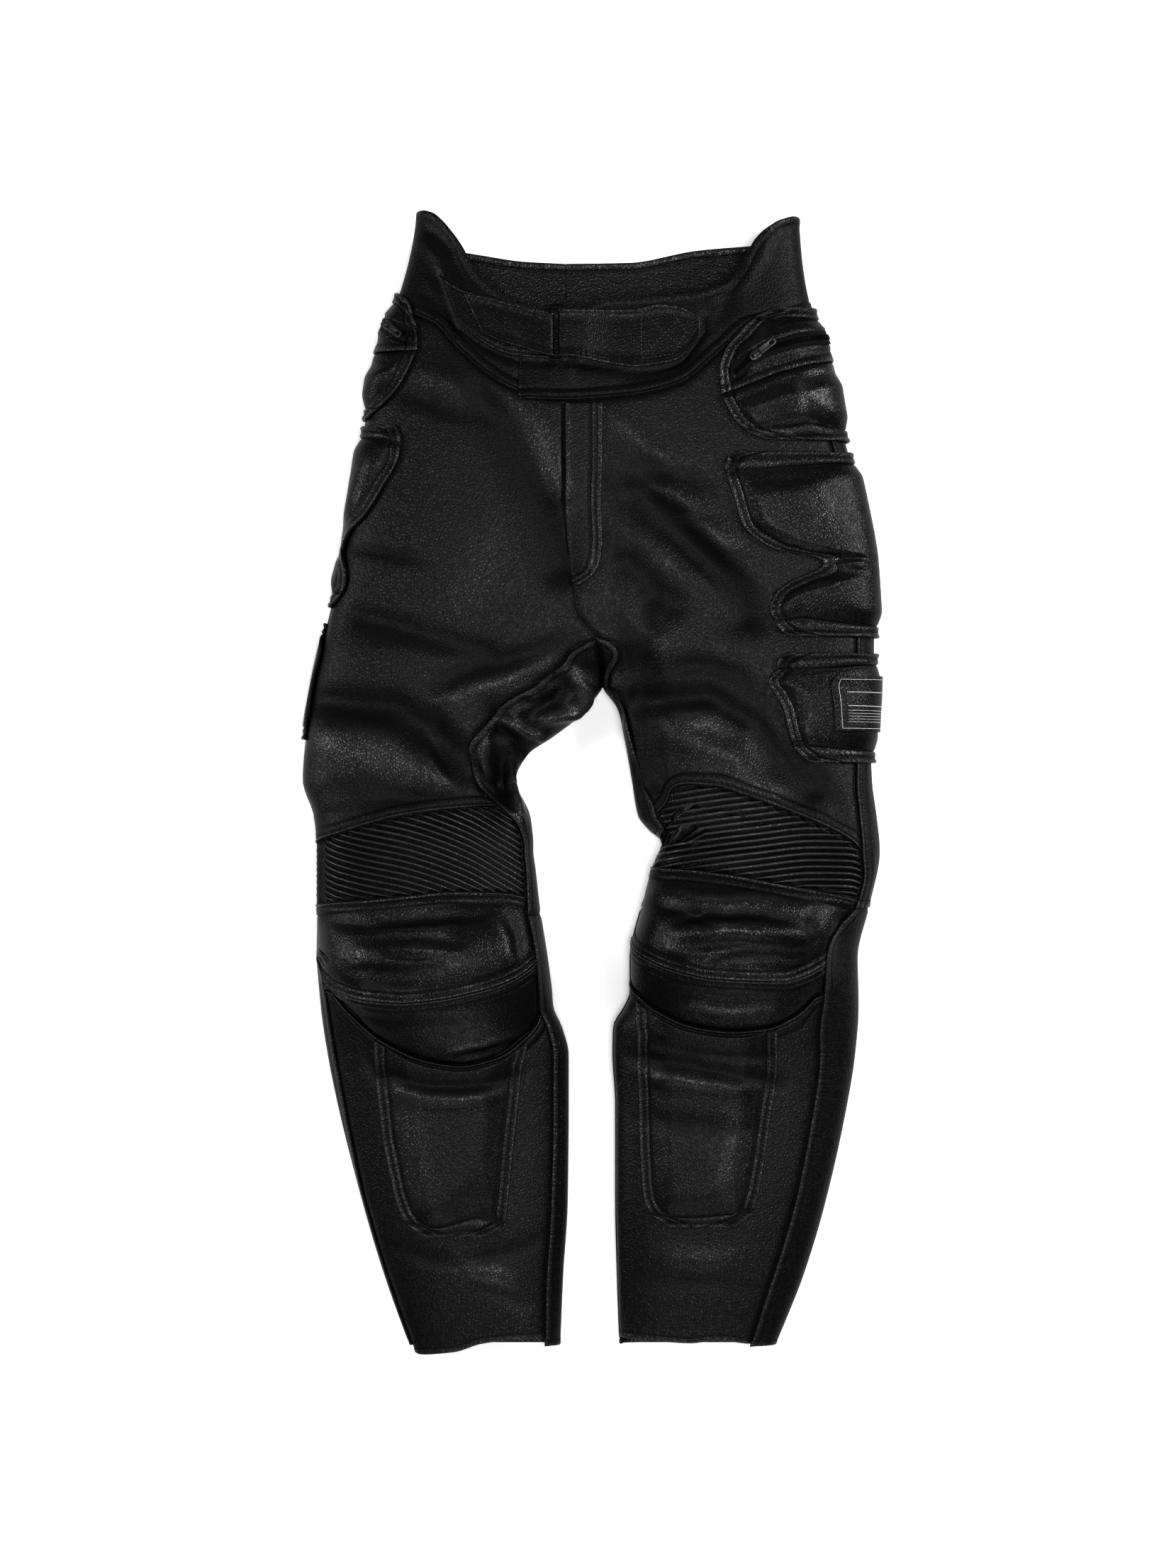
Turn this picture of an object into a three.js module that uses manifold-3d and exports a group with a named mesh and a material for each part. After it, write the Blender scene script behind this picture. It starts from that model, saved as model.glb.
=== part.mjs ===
// Motorcycle trousers in black leather, laid flat with the front up.
// Millimetres, +Z up. The origin lies under the middle of the trousers, on the surface they lie on.
// +Y runs up to the waist and +X to the wearer's left. Every piece is worked out on one skin, the outer
// face of the leather, as a point (a, y): y is the height along the legs and a runs once round a leg,
// from 0 at the inner edge over the front to 1 at the outer edge, and under the back to 2.
import * as THREE from 'three';
import Module from 'manifold-3d';

const wasm = await Module();
wasm.setup();

// Driving sizes
const WALL = 1.8;
const SEAM_GAP = 0.4;
const LAY_GAP = 0.95;
const CROTCH_Y = 86;
const RISE_BLEND = 62;
const SIDE_HEIGHT = 0.42;
const FRONT_MIDDLE = -22.4;
const FRONT_POWER = { pelvis: 3.0, leg: 2.6 };
const BACK_POWER = 5;
const BACK_PRESS = 1.05;
const RIB = { pitch: 5.8, relief: 1.9 };
const PAD = { rampFrom: 4.8, rampTo: 19, thick: 2.6 };
const STRAP = { thick: 1.7, gap: 0.4, barRadius: 1.4 };

const RIGHT = { name: 'right', sign: -1 };
const LEFT = { name: 'left', sign: 1 };
const SIDES = [RIGHT, LEFT];
const other = (side) => (side === LEFT ? RIGHT : LEFT);

const clamp = (value, low, high) => Math.min(Math.max(value, low), high);
const mix = (from, to, share) => from + (to - from) * share;
const smooth = (from, to, value) => {
  const t = clamp((value - from) / (to - from), 0, 1);
  return t * t * (3 - 2 * t);
};

// A monotone cubic through rows of numbers, flat beyond its ends.
function curve(xs, ys) {
  const order = xs.map((_, i) => i).sort((i, j) => xs[i] - xs[j]);
  const x = order.map((i) => xs[i]);
  const y = order.map((i) => ys[i]);
  const last = x.length - 1;
  const slope = [];
  for (let i = 0; i < last; i++) slope.push((y[i + 1] - y[i]) / (x[i + 1] - x[i]));
  const tangent = x.map((_, i) => {
    if (i === 0) return slope[0];
    if (i === last) return slope[last - 1];
    if (slope[i - 1] * slope[i] <= 0) return 0;
    return (2 * slope[i - 1] * slope[i]) / (slope[i - 1] + slope[i]);
  });
  return (at) => {
    if (at <= x[0]) return y[0];
    if (at >= x[last]) return y[last];
    let i = 0;
    while (at > x[i + 1]) i++;
    const h = x[i + 1] - x[i];
    const t = (at - x[i]) / h;
    const rise = t * t * (3 - 2 * t);
    const lead = t * (1 - t) * (1 - t) * h * tangent[i];
    const trail = t * t * (t - 1) * h * tangent[i + 1];
    return y[i] + (y[i + 1] - y[i]) * rise + lead + trail;
  };
}

// A table with named columns becomes one curve for each column after the first.
function table(columns, rows) {
  const result = {};
  for (let c = 1; c < columns.length; c++) {
    const used = rows.filter((row) => row[c] !== null);
    result[columns[c]] = curve(used.map((row) => row[0]), used.map((row) => row[c]));
  }
  return result;
}

// How high the front stands off the surface.
const HEIGHT = table(['y', 'z'], [
  [515, 56], [419, 62], [323, 66], [195, 64], [131, 62], [86, 60], [42, 60], [3, 62], [-29, 64],
  [-61, 66], [-112, 70], [-157, 68], [-202, 62], [-246, 54], [-291, 50], [-381, 46], [-445, 40], [-518, 30],
]);

// The outer edges, and the centre front.
const OUTSIDE = table(['y', 'right', 'left'], [
  [515, -156, 189], [483, -161, 191], [451, -169, 195], [419, -180, 203], [387, -192, 215],
  [323, -202, 227], [259, -212, 243], [195, -224, 254], [131, -239, 257], [86, -249, 256],
  [42, -256, 254], [3, -259, 255], [-29, -249, 259], [-61, -246, 262], [-112, -246, 252],
  [-157, -246, 242], [-202, -243, 243], [-246, -237, 240], [-291, -228, 233], [-381, -205, 213],
  [-445, -186, 194], [-518, -160, 165],
]);
const CENTRE_FRONT = table(['y', 'x'], [
  [515, -22], [259, -22], [221, -20], [195, -17], [157, -13], [131, 4], [99, 11.5], [86, 11.5],
]);
const INSIDE = table(['y', 'right', 'left'], [
  [86, 11.5, 11.5], [65, -4.5, 26], [42, -33, 31], [26, -56, 34], [3, -67, 38], [-29, -54, 43.5],
  [-42, -52, 53], [-54, -51, 66], [-61, -51, 63], [-77, -49, 56], [-112, -45, 47], [-157, -38, 37],
  [-189, -34, 37], [-202, -33, 32], [-221, -25, 22], [-246, -19, 21.5], [-291, -19, 24],
  [-381, -20, 24], [-445, -24, 25.5], [-518, -27, 28],
]);

// Seams across a leg, as plan outlines from the inner to the outer edge
const SEAMS = {
  right: {
    bandTop: [[FRONT_MIDDLE, 420.5], [-55.7, 425.6], [-84.5, 441.6], [-102.4, 460.8], [-116.5, 485],
      [-124, 495.4], [-132.5, 505.6], [-141, 513], [-150, 516]],
    bandSeam: [[FRONT_MIDDLE, 343], [-63, 350], [-91, 365], [-116.5, 387], [-139, 411.5], [-159, 421],
      [-172, 428]],
    ribTop: [[-56, -38], [-62, -29], [-78, -20.5], [-97, -21], [-136, -24], [-174, -30], [-200, -37],
      [-231, -47], [-246, -54]],
    kneeTop: [[-56, -104], [-62, -101], [-84.5, -97.5], [-123, -97], [-161, -100.5], [-212.5, -105.6],
      [-244, -109]],
    kneeMid: [[-49, -160], [-72, -176], [-97, -184], [-136, -192], [-168, -195], [-200, -193], [-228.5, -184],
      [-243, -166]],
    cupEnd: [[-44, -206], [-59, -228.5], [-84.5, -246], [-116.5, -253], [-148.5, -248], [-187, -230],
      [-212.5, -208], [-232, -186]],
    hem: [[-27, -498.5], [-43, -502], [-72, -503], [-97, -506], [-123, -514], [-152, -517], [-160, -516]],
  },
  left: {
    bandTop: [[FRONT_MIDDLE, 420.5], [-1.3, 425], [11.5, 432], [43.5, 434], [94.7, 439], [121.6, 448],
      [136.3, 467], [149, 489.6], [158.7, 499], [171.5, 507], [184, 511]],
    bandSeam: [[FRONT_MIDDLE, 342], [5, 343.7], [43.5, 347.5], [82, 358], [114, 384], [146, 410], [200, 424]],
    ribTop: [[64, -50], [68, -19], [74, -5], [85, -1], [107.5, -2], [146, -13], [184, -27], [210, -38],
      [229, -48], [244, -62]],
    kneeTop: [[52, -75.5], [82, -77], [120, -81], [159, -88], [197, -95], [238, -104]],
    kneeMid: [[38, -141], [47, -154], [75.5, -166], [107.5, -173], [139.5, -175], [171.5, -176], [191, -171],
      [212, -160]],
    cupEnd: [[37, -179], [43.5, -190], [63, -205], [95, -218], [127, -222], [159, -219], [184, -208],
      [203, -190]],
    hem: [[31, -502], [50, -503], [91.5, -505.6], [114, -503], [139.5, -506], [166, -512.6]],
  },
};

// The domed knees, which reach from the seam above the knee to the end of the cup. Each has its highest
// line at y, its middle at x, its reach across and its height.
const planLine = (points) => curve(points.map((p) => p[0]), points.map((p) => p[1]));
const dome = (side, sizes) => ({
  ...sizes,
  above: planLine(SEAMS[side.name].kneeTop),
  below: planLine(SEAMS[side.name].cupEnd),
});
const KNEES = [
  dome(RIGHT, { x: -140, y: -165, across: 112, high: 25 }),
  dome(LEFT, { x: 125, y: -140, across: 98, high: 25 }),
];

// The largest folds: depth (down is negative), half width and path.
const FOLDS = {
  right: [
    { depth: -7, width: 17, path: [[-116, 374], [-84, 323], [-52, 259], [-27, 195]] },
    { depth: 4, width: 14, path: [[-80, 372], [-50, 320], [-30, 262]] },
    { depth: -7, width: 14, path: [[-250, 74], [-174, 67], [-123, 29], [-84, -3]] },
    { depth: 4, width: 16, path: [[-236, 46], [-180, 34], [-140, 4]] },
    { depth: -5, width: 12, path: [[-84, 61], [-80, 0], [-90, -20]] },
    { depth: -5, width: 9, path: [[-50, 67], [-56, 29]] },
    { depth: -4, width: 11, path: [[-205, 150], [-150, 132], [-95, 118]] },
  ],
  left: [
    { depth: -7, width: 15, path: [[43, 259], [107, 195], [138, 150]] },
    { depth: 4, width: 14, path: [[70, 262], [120, 212]] },
    { depth: -5, width: 13, path: [[34, 196], [74, 160]] },
    { depth: -6, width: 12, path: [[43, 74], [107, 77], [146, 52], [166, 22], [196, -6]] },
    { depth: 4, width: 13, path: [[80, 42], [130, 24], [160, -6]] },
    { depth: -5, width: 12, path: [[50, 163], [53, 3]] },
  ],
};

const FOLDS_END = 328;

function distanceTo(path, x, y) {
  let best = Infinity;
  for (let i = 0; i + 1 < path.length; i++) {
    const [x0, y0] = path[i];
    const dx = path[i + 1][0] - x0;
    const dy = path[i + 1][1] - y0;
    const t = clamp(((x - x0) * dx + (y - y0) * dy) / (dx * dx + dy * dy), 0, 1);
    best = Math.min(best, Math.hypot(x - x0 - t * dx, y - y0 - t * dy));
  }
  return best;
}

// What the folds and the knees add to the front's height. A knee's dome ends in a crease below, where
// its cup is sewn to the shin, and runs out softly above.
function relief(x, y) {
  let z = 0;
  for (const fold of [...FOLDS.right, ...FOLDS.left]) {
    const d = distanceTo(fold.path, x, y) / fold.width;
    z += fold.depth * Math.exp(-d * d);
  }
  z *= 1 - smooth(FOLDS_END, FOLDS_END + 40, y);
  for (const knee of KNEES) {
    const across = 1 - ((x - knee.x) / knee.across) ** 2;
    const end = y > knee.y ? knee.above(x) : knee.below(x);
    const along = 1 - ((y - knee.y) / (end - knee.y)) ** 2;
    if (across > 0 && along > 0) z += knee.high * across ** 0.7 * along ** (y > knee.y ? 1.5 : 1);
  }
  return z;
}

// One cross-section of a leg or half of the pelvis.
const sections = new Map();
function section(side, y) {
  const key = `${side.name}${y.toFixed(4)}`;
  if (sections.has(key)) return sections.get(key);
  const rise = smooth(CROTCH_Y, CROTCH_Y + RISE_BLEND, y);
  const xi = y > CROTCH_Y ? CENTRE_FRONT.x(y) : INSIDE[side.name](y);
  const xo = OUTSIDE[side.name](y);
  const psiIn = Math.PI * mix(1, 0.5, rise);
  const high = HEIGHT.z(y);
  const zs = high * SIDE_HEIGHT;
  const power = mix(FRONT_POWER.leg, FRONT_POWER.pelvis, rise);
  const half = (n) => (xo - xi) / (1 - Math.cos(psiIn) / roundness(psiIn, n));
  const made = { xo, psiIn, high, zs, power, front: half(power), back: half(BACK_POWER) };
  sections.set(key, made);
  return made;
}

function roundness(psi, n) {
  return (Math.abs(Math.cos(psi)) ** n + Math.abs(Math.sin(psi)) ** n) ** (1 / n);
}

// The skin itself. A negative a carries on round the inside of a leg, or onto the other half's front.
function skin(side, a, y) {
  if (a < 0) return y >= CROTCH_Y ? skin(other(side), -a, y) : skin(side, a + 2, y);
  if (a > 2) return skin(side, a - 2, y);
  const s = section(side, y);
  const psi = (1 - a) * s.psiIn;
  if (psi >= 0) {
    const r = roundness(psi, s.power);
    const x = s.xo - s.front + (s.front * Math.cos(psi)) / r;
    const z = s.zs + ((s.high - s.zs) * Math.sin(psi)) / r;
    return new THREE.Vector3(x, y, z + relief(x, y) * smooth(0, 0.7, Math.sin(psi) / r));
  }
  const r = roundness(psi, BACK_POWER);
  const x = s.xo - s.back + (s.back * Math.cos(psi)) / r;
  const z = s.zs + (BACK_PRESS * s.zs * Math.sin(psi)) / r;
  return new THREE.Vector3(x, y, Math.max(z, 0));
}

// The place round the front, a, that lies under plan point (x, y).
function around(side, x, y) {
  const s = section(side, y);
  const across = clamp((x - s.xo + s.front) / s.front, -1, 1);
  const up = (1 - Math.abs(across) ** s.power) ** (1 / s.power);
  return 1 - Math.atan2(up, across) / s.psiIn;
}

const STEP = 0.004;
const alongA = (side, a, y) => skin(side, a + STEP, y).sub(skin(side, a - STEP, y)).divideScalar(2 * STEP);
const alongY = (side, a, y) => skin(side, a, y + 1).sub(skin(side, a, y - 1)).divideScalar(2);
function outward(side, a, y) {
  return alongA(side, a, y).cross(alongY(side, a, y)).multiplyScalar(side.sign).normalize();
}
const lifted = (side, a, y, by) => skin(side, a, y).addScaledVector(outward(side, a, y), by);

// Edges of pieces: a plan outline read as a(y) or as y(a).
const edgeA = (side, points) => curve(points.map((p) => p[1]), points.map((p) => around(side, p[0], p[1])));
const edgeY = (side, points) => curve(points.map((p) => around(side, p[0], p[1])), points.map((p) => p[1]));

// A closed wall from two grids of points, the outer one first.
function wall(outer, inner, flip) {
  const rows = outer.length;
  const cols = outer[0].length;
  const points = [...outer.flat(), ...inner.flat()];
  const faces = [];
  const at = (layer, j, i) => layer * rows * cols + j * cols + i;
  const quad = (a, b, c, d) => {
    const same = points[a].distanceToSquared(points[c]) > points[b].distanceToSquared(points[d]);
    const pair = same ? [[a, b, d], [b, c, d]] : [[a, b, c], [a, c, d]];
    for (const [p, q, r] of pair) faces.push(...(flip ? [p, r, q] : [p, q, r]));
  };
  for (let j = 0; j + 1 < rows; j++) {
    for (let i = 0; i + 1 < cols; i++) {
      quad(at(0, j, i), at(0, j, i + 1), at(0, j + 1, i + 1), at(0, j + 1, i));
      quad(at(1, j, i), at(1, j + 1, i), at(1, j + 1, i + 1), at(1, j, i + 1));
    }
  }
  for (let i = 0; i + 1 < cols; i++) {
    quad(at(0, 0, i), at(1, 0, i), at(1, 0, i + 1), at(0, 0, i + 1));
    quad(at(0, rows - 1, i + 1), at(1, rows - 1, i + 1), at(1, rows - 1, i), at(0, rows - 1, i));
  }
  for (let j = 0; j + 1 < rows; j++) {
    quad(at(0, j + 1, 0), at(1, j + 1, 0), at(1, j, 0), at(0, j, 0));
    quad(at(0, j, cols - 1), at(1, j, cols - 1), at(1, j + 1, cols - 1), at(0, j + 1, cols - 1));
  }
  const geometry = new THREE.BufferGeometry();
  geometry.setAttribute('position', new THREE.Float32BufferAttribute(points.flatMap((p) => p.toArray()), 3));
  geometry.setIndex(faces);
  geometry.computeVertexNormals();
  return geometry;
}

const asCurve = (value) => (typeof value === 'function' ? value : () => value);
const steps = (count) => Array.from({ length: count + 1 }, (_, i) => i / count);
const COLUMNS = steps(11);

// How far an edge moves in to leave its half of a seam's gap, as a share of a and as a length of y.
function insetA(side, edge, y, a, gap) {
  const size = alongA(side, a, y).length();
  return (gap * Math.hypot(1, ((edge(y + 1) - edge(y - 1)) / 2) * size)) / size;
}
function insetY(side, edge, a, y, gap) {
  const size = alongA(side, a, y).length();
  return gap * Math.hypot(1, (edge(a + STEP) - edge(a - STEP)) / (2 * STEP * size));
}

// The heights of a panel's rows: level ones in ys, which bend to the top and bottom edges near them. A
// row given as a pair climbs from its height at the left edge to that at the right.
const levelAt = (row, u) => (Array.isArray(row) ? mix(row[0], row[1], u) : row);
function levelRow(shape, bottom, top, level) {
  const { fadeLow = 70, fadeHigh = 130 } = shape;
  const ys = shape.ys.map((row) => levelAt(row, 0));
  const low = 1 - smooth(ys[0], ys[0] + fadeLow, level);
  const high = smooth(ys.at(-1) - fadeHigh, ys.at(-1), level);
  return level + (bottom - ys[0]) * low + (top - ys.at(-1)) * high;
}

// A panel between left and right edges, a(y), and bottom and top edges, y(a). Its outer face is lift
// plus thick over the skin, and lift is less than nothing for the leather itself.
function panel(side, shape) {
  const { lift = () => -WALL, thick = () => WALL, gap = SEAM_GAP / 2, us = COLUMNS } = shape;
  const [left, right] = [asCurve(shape.left), asCurve(shape.right)];
  const [bottom, top] = [asCurve(shape.bottom), asCurve(shape.top)];
  const rows = shape.ys ?? steps(shape.rows);
  const outer = [];
  const inner = [];
  for (const v of rows) {
    const outerRow = [];
    const innerRow = [];
    for (const u of us) {
      let y = shape.ys ? levelAt(v, u) : mix(bottom(0.5), top(0.5), v);
      let a = mix(left(y), right(y), u);
      for (let turn = 0; turn < 16; turn++) {
        const low = bottom(a) + insetY(side, bottom, a, y, gap);
        const high = top(a) - insetY(side, top, a, y, gap);
        const next = shape.ys ? levelRow(shape, low, high, levelAt(v, u)) : mix(low, high, v);
        y = mix(y, next, turn < 6 ? 1 : 0.6);
        a = mix(left(y) + insetA(side, left, y, a, gap), right(y) - insetA(side, right, y, a, gap), u);
      }
      const place = { u, v, a, y };
      if (shape.padded) {
        place.wide = Math.abs(right(y) - left(y)) * alongA(side, a, y).length();
        place.tall = Math.abs(top(a) - bottom(a));
      }
      const normal = outward(side, a, y);
      const low = lift(place);
      outerRow.push(skin(side, a, y).addScaledVector(normal, low + thick(place)));
      innerRow.push(skin(side, a, y).addScaledVector(normal, low));
    }
    outer.push(outerRow);
    inner.push(innerRow);
  }
  return wall(outer, inner, side.sign < 0);
}

// The ribbed panel: each row of points follows a crest or a valley, and ends on the panel's edges.
function ribbedPanel(side, shape) {
  const { left, right, bottom, top, lean, gap } = shape;
  const inside = (a, base) => {
    const y = base + lean(a);
    const above = y > bottom(a) + insetY(side, bottom, a, y, gap);
    const below = y < top(a) - insetY(side, top, a, y, gap);
    const after = a > left(y) + insetA(side, left, y, a, gap);
    const before = a < right(y) - insetA(side, right, y, a, gap);
    return above && below && after && before;
  };
  const edge = (base, from, to) => {
    let [yes, no] = [from, to];
    for (let turn = 0; turn < 18; turn++) {
      const middle = (yes + no) / 2;
      if (inside(middle, base)) yes = middle;
      else no = middle;
    }
    return yes;
  };
  const outer = [];
  const inner = [];
  for (let k = shape.first; k <= shape.last; k++) {
    const base = (k * RIB.pitch) / 2;
    const hits = steps(shape.scan).map((t) => mix(-0.2, 1.3, t)).filter((a) => inside(a, base));
    if (hits.length < 4) continue;
    const step = 1.5 / shape.scan;
    const from = edge(base, hits[0], hits[0] - step);
    const to = edge(base, hits.at(-1), hits.at(-1) + step);
    const crest = k % 2 === 0 ? RIB.relief / 2 : -RIB.relief / 2;
    const row = shape.us.map((u) => {
      const a = mix(from, to, u);
      return [a, base + lean(a)];
    });
    outer.push(row.map(([a, y]) => lifted(side, a, y, crest)));
    inner.push(row.map(([a, y]) => lifted(side, a, y, -RIB.relief / 2 - WALL)));
  }
  return wall(outer, inner, side.sign < 0);
}

// Where a panel's columns meet a seam, as points (a, y).
function seamKnots(seam, left, right, us) {
  return us.map((u) => {
    let a = u;
    for (let turn = 0; turn < 16; turn++) {
      const y = seam(a);
      a = mix(left(y), right(y), u);
    }
    return [a, seam(a)];
  });
}

// A seam seen as the straight stretches between a panel's columns.
function stretched(side, seam, left, right, us) {
  const knots = seamKnots(seam, left, right, us);
  const places = knots.map(([a, y]) => skin(side, a, y));
  return (a) => {
    let i = 0;
    while (i < knots.length - 2 && a > knots[i + 1][0]) i++;
    const [y0, y1] = [knots[i][1], knots[i + 1][1]];
    const chord = places[i + 1].clone().sub(places[i]).setY(0);
    const share = (a - knots[i][0]) / (knots[i + 1][0] - knots[i][0]);
    const here = skin(side, a, mix(y0, y1, share)).sub(places[i]).setY(0);
    return mix(y0, y1, here.dot(chord) / chord.lengthSq());
  };
}

// A pad: a sewn flange all round and a raised middle.
function puffed(high) {
  return ({ u, v, wide, tall }) => {
    const near = Math.min(Math.min(u, 1 - u) * wide, Math.min(v, 1 - v) * tall);
    return PAD.thick + high * smooth(PAD.rampFrom, PAD.rampTo, near);
  };
}

const leather = (color, roughness) => new THREE.MeshStandardMaterial({ color, roughness, metalness: 0 });
const METAL = new THREE.MeshStandardMaterial({ color: 0xb9b9b6, roughness: 0.25, metalness: 1 });
const SMOOTH = leather(0x16171a, 0.42);
const GRAINED = leather(0x1c1d20, 0.5);
const RIBBED = leather(0x131416, 0.55);

const trousers = new THREE.Group();
function add(name, geometry, material) {
  const mesh = new THREE.Mesh(geometry, material);
  mesh.name = name;
  trousers.add(mesh);
  return mesh;
}

// Where the side seam and the inside leg seam lie, in from the outline seen from above. Less than
// nothing is under the edge.
const SEAM_INSET = {
  right: table(['y', 'outer', 'inner'], [
    [-100, -9, 9], [-118, -8, 11], [-150, -2, 10], [-175, 6, 11], [-222, 8, 13],
    [-259, 8, 14], [-317, 6, 14], [-381, 3, 15], [-445, 3, 15], [-499, 2, 14],
  ]),
  left: table(['y', 'outer', 'inner'], [
    [298, 14, -6], [122, 17, -6], [40, 14, -6], [-20, 17, -6], [-61, 18, -6], [-90, 13, -6], [-110, 14, -6],
    [-125, 23, -6], [-145, 30, -5], [-189, 33, -4], [-221, 36, -4], [-253, 33, -4], [-317, 31, -4],
    [-381, 29, -4], [-445, 29, -4], [-506, 24, -4],
  ]),
};
const GUSSET_LINE = {
  right: [[9, 131], [-20.5, 112], [-46, 90], [-84.5, 64], [-103, 42], [-106, 16], [-93, -10], [-74, -27],
    [-63, -42], [-59, -60], [-57, -90], [-56, -116]],
  left: [[12.5, 131], [19, 100], [31, 67], [39, 35], [46.7, 3], [58, -22], [67, -40], [66, -52]],
};
const GUSSET_TOP = 128;
const GUSSET_GAP = 0.35;
const BEHIND_KNEE = { right: [-104, -90, -75, -60, -50, -43], left: [-98, -84, -68, -60, -52] };
const BACK_BENDS = 60;
const GUSSET_END = { right: -118, left: -52 };
const GUSSET_UNDER = -0.24;
const GUSSET_NARROWS = { right: [-400, -300], left: [-58, 10] };
const UNDER_PER_MM = 0.0125;
const BACK_SPLIT = { right: -118, left: -112 };
const HEM_BACK = -509;
const LEVELS = [330, 310, 288, 264, 240, 216, 192, 169, 148, 128, 112, 97, 82, 66, 48, 30, 12, -8];
const THIGH_LEVELS = {
  right: [-38, ...LEVELS.toReversed(), 343],
  left: [-50, -31, ...LEVELS.toReversed(), 342],
};

// The heights at which a panel's rows reach one of its side edges.
function edgeRows(shape, side) {
  const [bottom, top, edge] = [asCurve(shape.bottom), asCurve(shape.top), shape[side]];
  return (shape.ys ?? steps(shape.rows)).map((v) => {
    let y = shape.ys ? v : mix(bottom(0.5), top(0.5), v);
    for (let turn = 0; turn < 12; turn++) {
      const [low, high] = [bottom(edge(y)), top(edge(y))];
      y = mix(y, shape.ys ? levelRow(shape, low, high, v) : mix(low, high, v), 0.7);
    }
    return y;
  });
}

const BAND_BACK_SEAM = {
  right: curve([1.11, 1.3, 1.6, 2], [428, 418, 406, 400]),
  left: curve([0.93, 1.06, 1.3, 1.6, 2], [419.5, 419, 414, 405, 400]),
};

function legEdges(side) {
  const inset = SEAM_INSET[side.name];
  const outer = (y) => {
    const by = inset.outer(y);
    const x = OUTSIDE[side.name](y) - side.sign * Math.max(by, 0);
    return by > 0 ? around(side, x, y) : 1 - by * UNDER_PER_MM;
  };
  const gusset = edgeA(side, GUSSET_LINE[side.name]);
  const lowest = GUSSET_LINE[side.name].at(-1)[1];
  const calf = (y) => {
    const by = inset.inner(y);
    const x = INSIDE[side.name](y) + side.sign * Math.max(by, 0);
    return by > 0 ? around(side, x, y) : by * UNDER_PER_MM;
  };
  const inner = (y) => {
    if (y > GUSSET_LINE[side.name][0][1]) return 0;
    return mix(calf(y), gusset(y), smooth(lowest - 14, lowest, y));
  };
  const narrow = GUSSET_NARROWS[side.name];
  const under = (y) => mix(calf(y), GUSSET_UNDER * smooth(CROTCH_Y, CROTCH_Y - 34, y), smooth(...narrow, y));
  return { outer, inner, under };
}

// How far the ribs climb from the inner edge outwards, by plan x.
const RIB_CLIMB = {
  right: [[-56, 0], [-96, 15], [-176, 42], [-246, 56]],
  left: [[52, 0], [150, 12], [200, 17], [244, 18]],
};
const RIB_GAP = 0.5;
const KNEE_LEVEL = -70;

for (const side of SIDES) {
  const seams = SEAMS[side.name];
  const tag = (name) => `${name}_${side.name}`;
  const { outer, inner, under } = legEdges(side);
  const bandSeam = edgeY(side, seams.bandSeam);
  const ribTop = edgeY(side, seams.ribTop);
  const kneeTop = edgeY(side, seams.kneeTop);
  const kneeMid = edgeY(side, seams.kneeMid);
  const cupEnd = edgeY(side, seams.cupEnd);
  const hem = edgeY(side, seams.hem);
  const split = BACK_SPLIT[side.name];
  const levels = THIGH_LEVELS[side.name];

  const frontThigh = { left: inner, right: outer, bottom: ribTop, top: bandSeam, ys: levels };
  add(tag('front_thigh'), panel(side, frontThigh), SMOOTH);
  const kneeRows = [split, ...BEHIND_KNEE[side.name]];
  const backThigh = {
    left: outer,
    right: (y) => 2 + under(y),
    bottom: split,
    top: BAND_BACK_SEAM[side.name],
    us: steps(6),
    ys: [
      ...kneeRows,
      ...levels.filter((y) => y < BACK_BENDS),
      ...edgeRows(frontThigh, 'right').filter((y) => y > BACK_BENDS),
    ],
  };
  add(tag('back_thigh'), panel(side, backThigh), SMOOTH);
  const end = GUSSET_END[side.name];
  const meets = edgeRows(frontThigh, 'left');
  const shared = levels.map((y, j) => [y, meets[j]]).filter(([y]) => y > -50 && y < GUSSET_TOP - 5);
  const gusset = {
    left: under,
    right: inner,
    bottom: end,
    top: GUSSET_TOP,
    us: steps(5),
    gap: GUSSET_GAP,
    ys: [...(side === RIGHT ? kneeRows : [end]), ...shared, GUSSET_TOP],
  };
  add(tag('gusset'), panel(side, gusset), SMOOTH);
  const climb = RIB_CLIMB[side.name];
  const lean = curve(climb.map((p) => around(side, p[0], KNEE_LEVEL)), climb.map((p) => p[1]));
  const ribs = {
    left: inner,
    right: outer,
    top: stretched(side, ribTop, inner, outer, COLUMNS),
    bottom: stretched(side, kneeTop, inner, outer, COLUMNS),
    lean,
    gap: RIB_GAP,
    us: steps(10),
    first: -70,
    last: 0,
    scan: 300,
  };
  add(tag('knee_ribs'), ribbedPanel(side, ribs), RIBBED);
  const cup = { left: inner, right: outer, rows: 4 };
  const cupUpper = { ...cup, bottom: kneeMid, top: kneeTop };
  const cupLower = { ...cup, bottom: cupEnd, top: kneeMid, rows: 3 };
  const shin = { ...cup, bottom: hem, top: cupEnd, rows: 10 };
  add(tag('knee_cup_upper'), panel(side, cupUpper), GRAINED);
  add(tag('knee_cup_lower'), panel(side, cupLower), GRAINED);
  add(tag('shin'), panel(side, shin), SMOOTH);
  const shinRows = edgeRows(shin, side === RIGHT ? 'left' : 'right');
  const calfRows = [...shinRows.filter((y) => y < -200), ...edgeRows(cupLower, 'right')];
  calfRows.push(...edgeRows(cupUpper, 'right').slice(1).filter((y) => y < split - 6), split);
  calfRows[0] = HEM_BACK;
  const backCalf = {
    left: outer,
    right: (y) => 2 + inner(y),
    bottom: HEM_BACK,
    top: split,
    us: steps(8),
    ys: calfRows,
  };
  add(tag('back_calf'), panel(side, backCalf), SMOOTH);
}

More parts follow.
